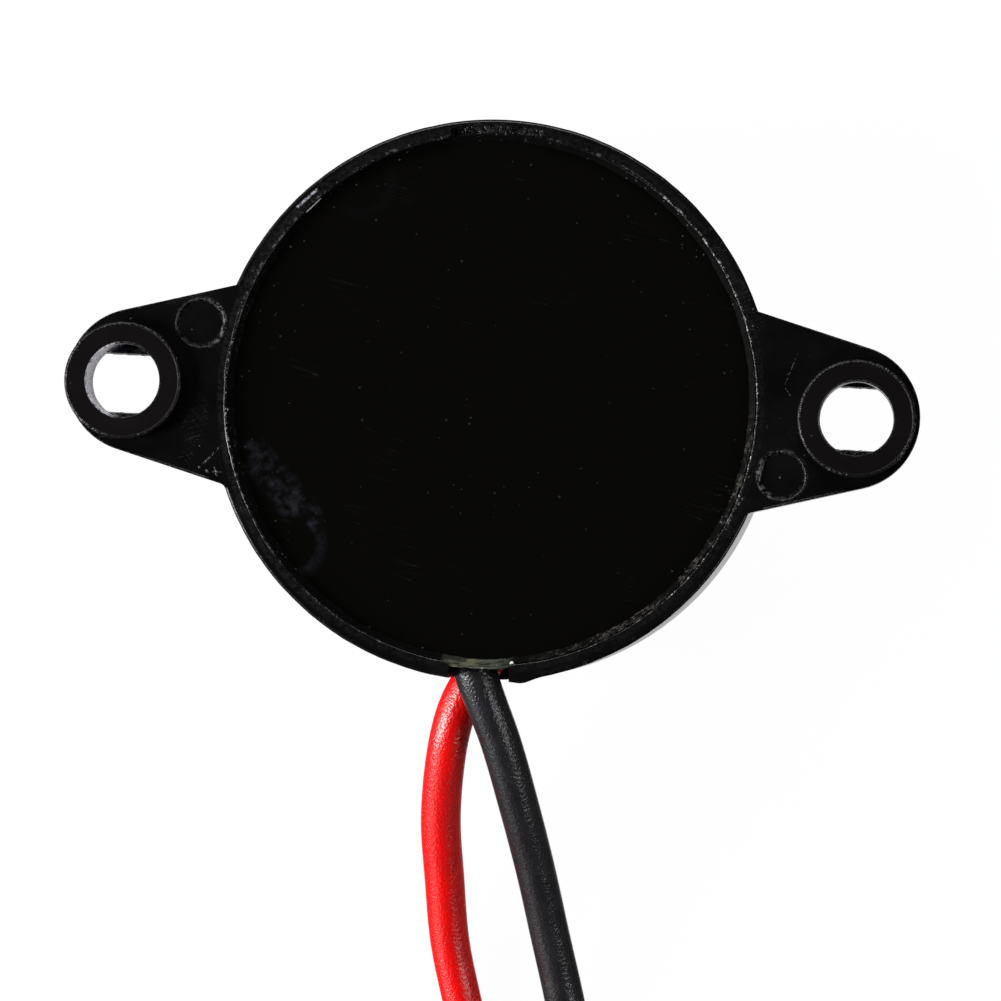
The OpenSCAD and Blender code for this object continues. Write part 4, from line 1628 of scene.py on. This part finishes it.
@dataclass
class Circuit:
    """The parts inside the cup, which keep their frame solids and get their own finishes."""

    finishes: ClassVar[dict[str, Finish]] = {
        "copper_tracks": COPPER,
        "transistor_body": EPOXY,
        "transistor_legs": TINNED,
        "bias_resistor": CHIP_GLAZE,
        "load_resistor": CHIP_GLAZE,
        "feedback_resistor": CHIP_GLAZE,
        "resistor_end_caps": TINNED,
        "board_solder": SOLDER,
        "piezo_bond": SILICONE,
        "piezo_plate": BRASS,
        "piezo_ceramic": CERAMIC,
        "drive_electrode": SILVERING,
        "feedback_electrode": SILVERING,
        "piezo_solder": SOLDER,
        "plate_wire": BLACK_PVC,
        "drive_wire": RED_PVC,
        "feedback_wire": BLUE_PVC,
        "red_core": TINNED,
        "black_core": TINNED,
    }

    def dress(self, nodes: Mapping[str, bpy.types.Object]) -> list[bpy.types.Object]:
        """Gives each kept node its finish.

        Args:
            nodes: The frame's nodes by name.

        Returns:
            The dressed nodes.
        """
        for name, finish in self.finishes.items():
            node = nodes[name]
            if not node.material_slots:
                node.data.materials.append(finish.material())
            for slot in node.material_slots:
                slot.material = finish.material()
        return [nodes[name] for name in self.finishes]


@dataclass(frozen=True)
class Lamp:
    """A soft lamp that faces the buzzer: its name, place, width and height in metres, and watts."""

    name: str
    place: Point3
    size: Point2
    power: float

    def build(self) -> None:
        """Makes the lamp."""
        light = bpy.data.lights.new(self.name, "AREA")
        light.shape = "RECTANGLE"
        light.size, light.size_y = self.size
        light.energy = self.power
        holder = bpy.data.objects.new(self.name, light)
        holder.location = self.place
        way = Vector((0, -0.005, 0.01)) - Vector(self.place)
        holder.rotation_euler = way.to_track_quat("-Z", "Y").to_euler()
        bpy.context.scene.collection.objects.link(holder)


@dataclass
class Studio:
    """Floor, sky, soft lamps and camera. Sizes are in metres here."""

    eye: Point3 = (0.015075, -0.007412, 0.274)
    aim: Point3 = (0.000675, -0.004132, 0.012)
    roll_deg: float = 3.05
    lens: float = 232.5
    floor_size: float = 12.0
    floor_gap: float = 0.00005
    lamps: tuple[Lamp, ...] = (
        Lamp("left_softbox", (-0.45, -0.1, 0.28), (0.2, 0.36), 4.6),
        Lamp("right_softbox", (0.44, -0.16, 0.32), (0.25, 0.12), 0.75),
        Lamp("rear_softbox", (-0.05, 0.48, 0.42), (0.5, 0.25), 3.0),
    )

    def floor_material(self) -> bpy.types.Material:
        """Makes the floor's material, white to the camera and clear from below.

        Returns:
            The material. Mirror rays see it dim where they meet it at a slant.
        """
        finish = bpy.data.materials.new("studio_floor")
        finish.use_nodes = True
        board = NodeBoard(finish.node_tree)
        path = board.add("ShaderNodeLightPath")
        seen = path.larger(path.output("Is Transmission Ray"))
        lit = board.add("ShaderNodeBsdfDiffuse", None, {"Color": grey(0.95)})
        white = board.add("ShaderNodeEmission", None, {"Color": grey(1.0), "Strength": 1.0})
        slant = board.add("ShaderNodeLayerWeight", None, {"Blend": 0.5}, "Facing")
        sheen = board.tinted(slant.ramped(0.1, 0.03), grey(0.06), grey(1.0))
        dim = board.add("ShaderNodeEmission", None, {"Color": sheen, "Strength": 1.0})
        clean = board.add("ShaderNodeMixShader", None, {0: seen * 0.98, 1: lit, 2: white})
        mixed = board.add("ShaderNodeMixShader", None, {0: path.output("Is Glossy Ray"), 1: clean, 2: dim})
        under = board.add("ShaderNodeNewGeometry", output="Backfacing")
        clear = board.add("ShaderNodeBsdfTransparent")
        whole = board.add("ShaderNodeMixShader", None, {0: under, 1: mixed, 2: clear})
        board.add("ShaderNodeOutputMaterial", None, {"Surface": whole})
        return finish

    def build_floor(self) -> None:
        """Makes the floor."""
        mesh = bpy.data.meshes.new("studio_floor")
        half, z = self.floor_size / 2, -self.floor_gap
        corners = [(-half, -half, z), (half, -half, z), (half, half, z), (-half, half, z)]
        mesh.from_pydata(corners, [], [(0, 1, 2, 3)])
        mesh.materials.append(self.floor_material())
        floor = bpy.data.objects.new("studio_floor", mesh)
        bpy.context.scene.collection.objects.link(floor)

    def build_sky(self) -> None:
        """Makes the sky, dim overhead, pale towards the horizon and below it, and white to the camera."""
        sky = bpy.data.worlds.new("studio_sky")
        sky.use_nodes = True
        board = NodeBoard(sky.node_tree)
        aside, _, height = board.parts(board.add("ShaderNodeTexCoord", output="Generated"))
        white = height.ramped(-0.02, -0.1).larger(board.add("ShaderNodeLightPath", output="Is Camera Ray"))
        shade = board.layered(
            grey(0.1),
            (aside.ramped(-0.2, -0.7), grey(1.8)),
            (height.ramped(0.15, 0.6), grey(0.01)),
            (white, grey(1.0)),
        )
        light = board.add("ShaderNodeBackground", None, {"Color": shade, "Strength": 1.0})
        board.add("ShaderNodeOutputWorld", None, {"Surface": light})
        bpy.context.scene.world = sky

    def build_camera(self) -> None:
        """Makes the camera."""
        data = bpy.data.cameras.new("camera")
        data.lens = self.lens
        data.sensor_width = 36.0
        data.clip_start, data.clip_end = 0.01, 10.0
        camera = bpy.data.objects.new("camera", data)
        back = (Vector(self.eye) - Vector(self.aim)).normalized()
        right = Vector((*polar(1.0, self.roll_deg), 0.0))
        right = (right - back * right.dot(back)).normalized()
        turn = Matrix((right, back.cross(right), back)).transposed().to_4x4()
        camera.matrix_world = Matrix.Translation(self.eye) @ turn
        bpy.context.scene.collection.objects.link(camera)
        bpy.context.scene.camera = camera

    def build(self) -> None:
        """Makes the whole studio."""
        bpy.context.scene.view_settings.view_transform = "Standard"
        self.build_camera()
        self.build_floor()
        self.build_sky()
        for lamp in self.lamps:
            lamp.build()


RED_ROUTE: tuple[Point3, ...] = (
    (1.2, -8, 7.1), (0.7, -9.6, 7.1), (-0.1, -11.1, 7.1), (-0.8, -12.4, 6.95), (-1.2, -13.9, 6.7),
    (-1.5, -17.2, 4.9), (-1.3, -20, 3.2), (-1, -22.7, 1.9), (-0.4, -25.2, 1.1), (0.4, -28, 0.8),
    (1.7, -31.2, 0.8), (3, -34.2, 0.8), (3.6, -36.4, 0.8), (3.6, -37.4, 0.8),
)  # fmt: skip
BLACK_ROUTE: tuple[Point3, ...] = (
    (-1, -8.2, 8.8), (-0.15, -11.2, 8.8), (0.95, -13.9, 7.95), (1.8, -16.6, 6.5), (2.58, -19.4, 4.7),
    (3.24, -22.1, 3.05), (3.9, -24.7, 1.75), (4.7, -28, 0.9), (5.2, -31.2, 0.8), (5.4, -34.2, 0.8),
    (5.2, -36.6, 0.8), (5.2, -37.4, 0.8),
)  # fmt: skip


def main() -> None:
    """Loads the frame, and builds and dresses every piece."""
    logging.basicConfig(level=logging.INFO, format="%(name)s: %(message)s")
    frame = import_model()
    leads = (
        FlyingLead("red", RED_ROUTE, Wrap.INNER, 500.0, RED_PVC, RED_ROUTE[2]),
        FlyingLead("black", BLACK_ROUTE, Wrap.OUTER, 420.0, BLACK_PVC, BLACK_ROUTE[1], pinch=0.05),
    )
    Studio().build()
    made: list[bpy.types.Object] = [piece for lead in leads for piece in lead.build()]
    made += [MouldedCup().build(), LacqueredBoard().build(), EdgeBead().build(), CoilTie().build()]
    made += Circuit().dress(frame["nodes"])
    for piece in made:
        log.info("%s: %d points, %d faces", piece.name, len(piece.data.vertices), len(piece.data.polygons))


if __name__ == "__main__":
    main()
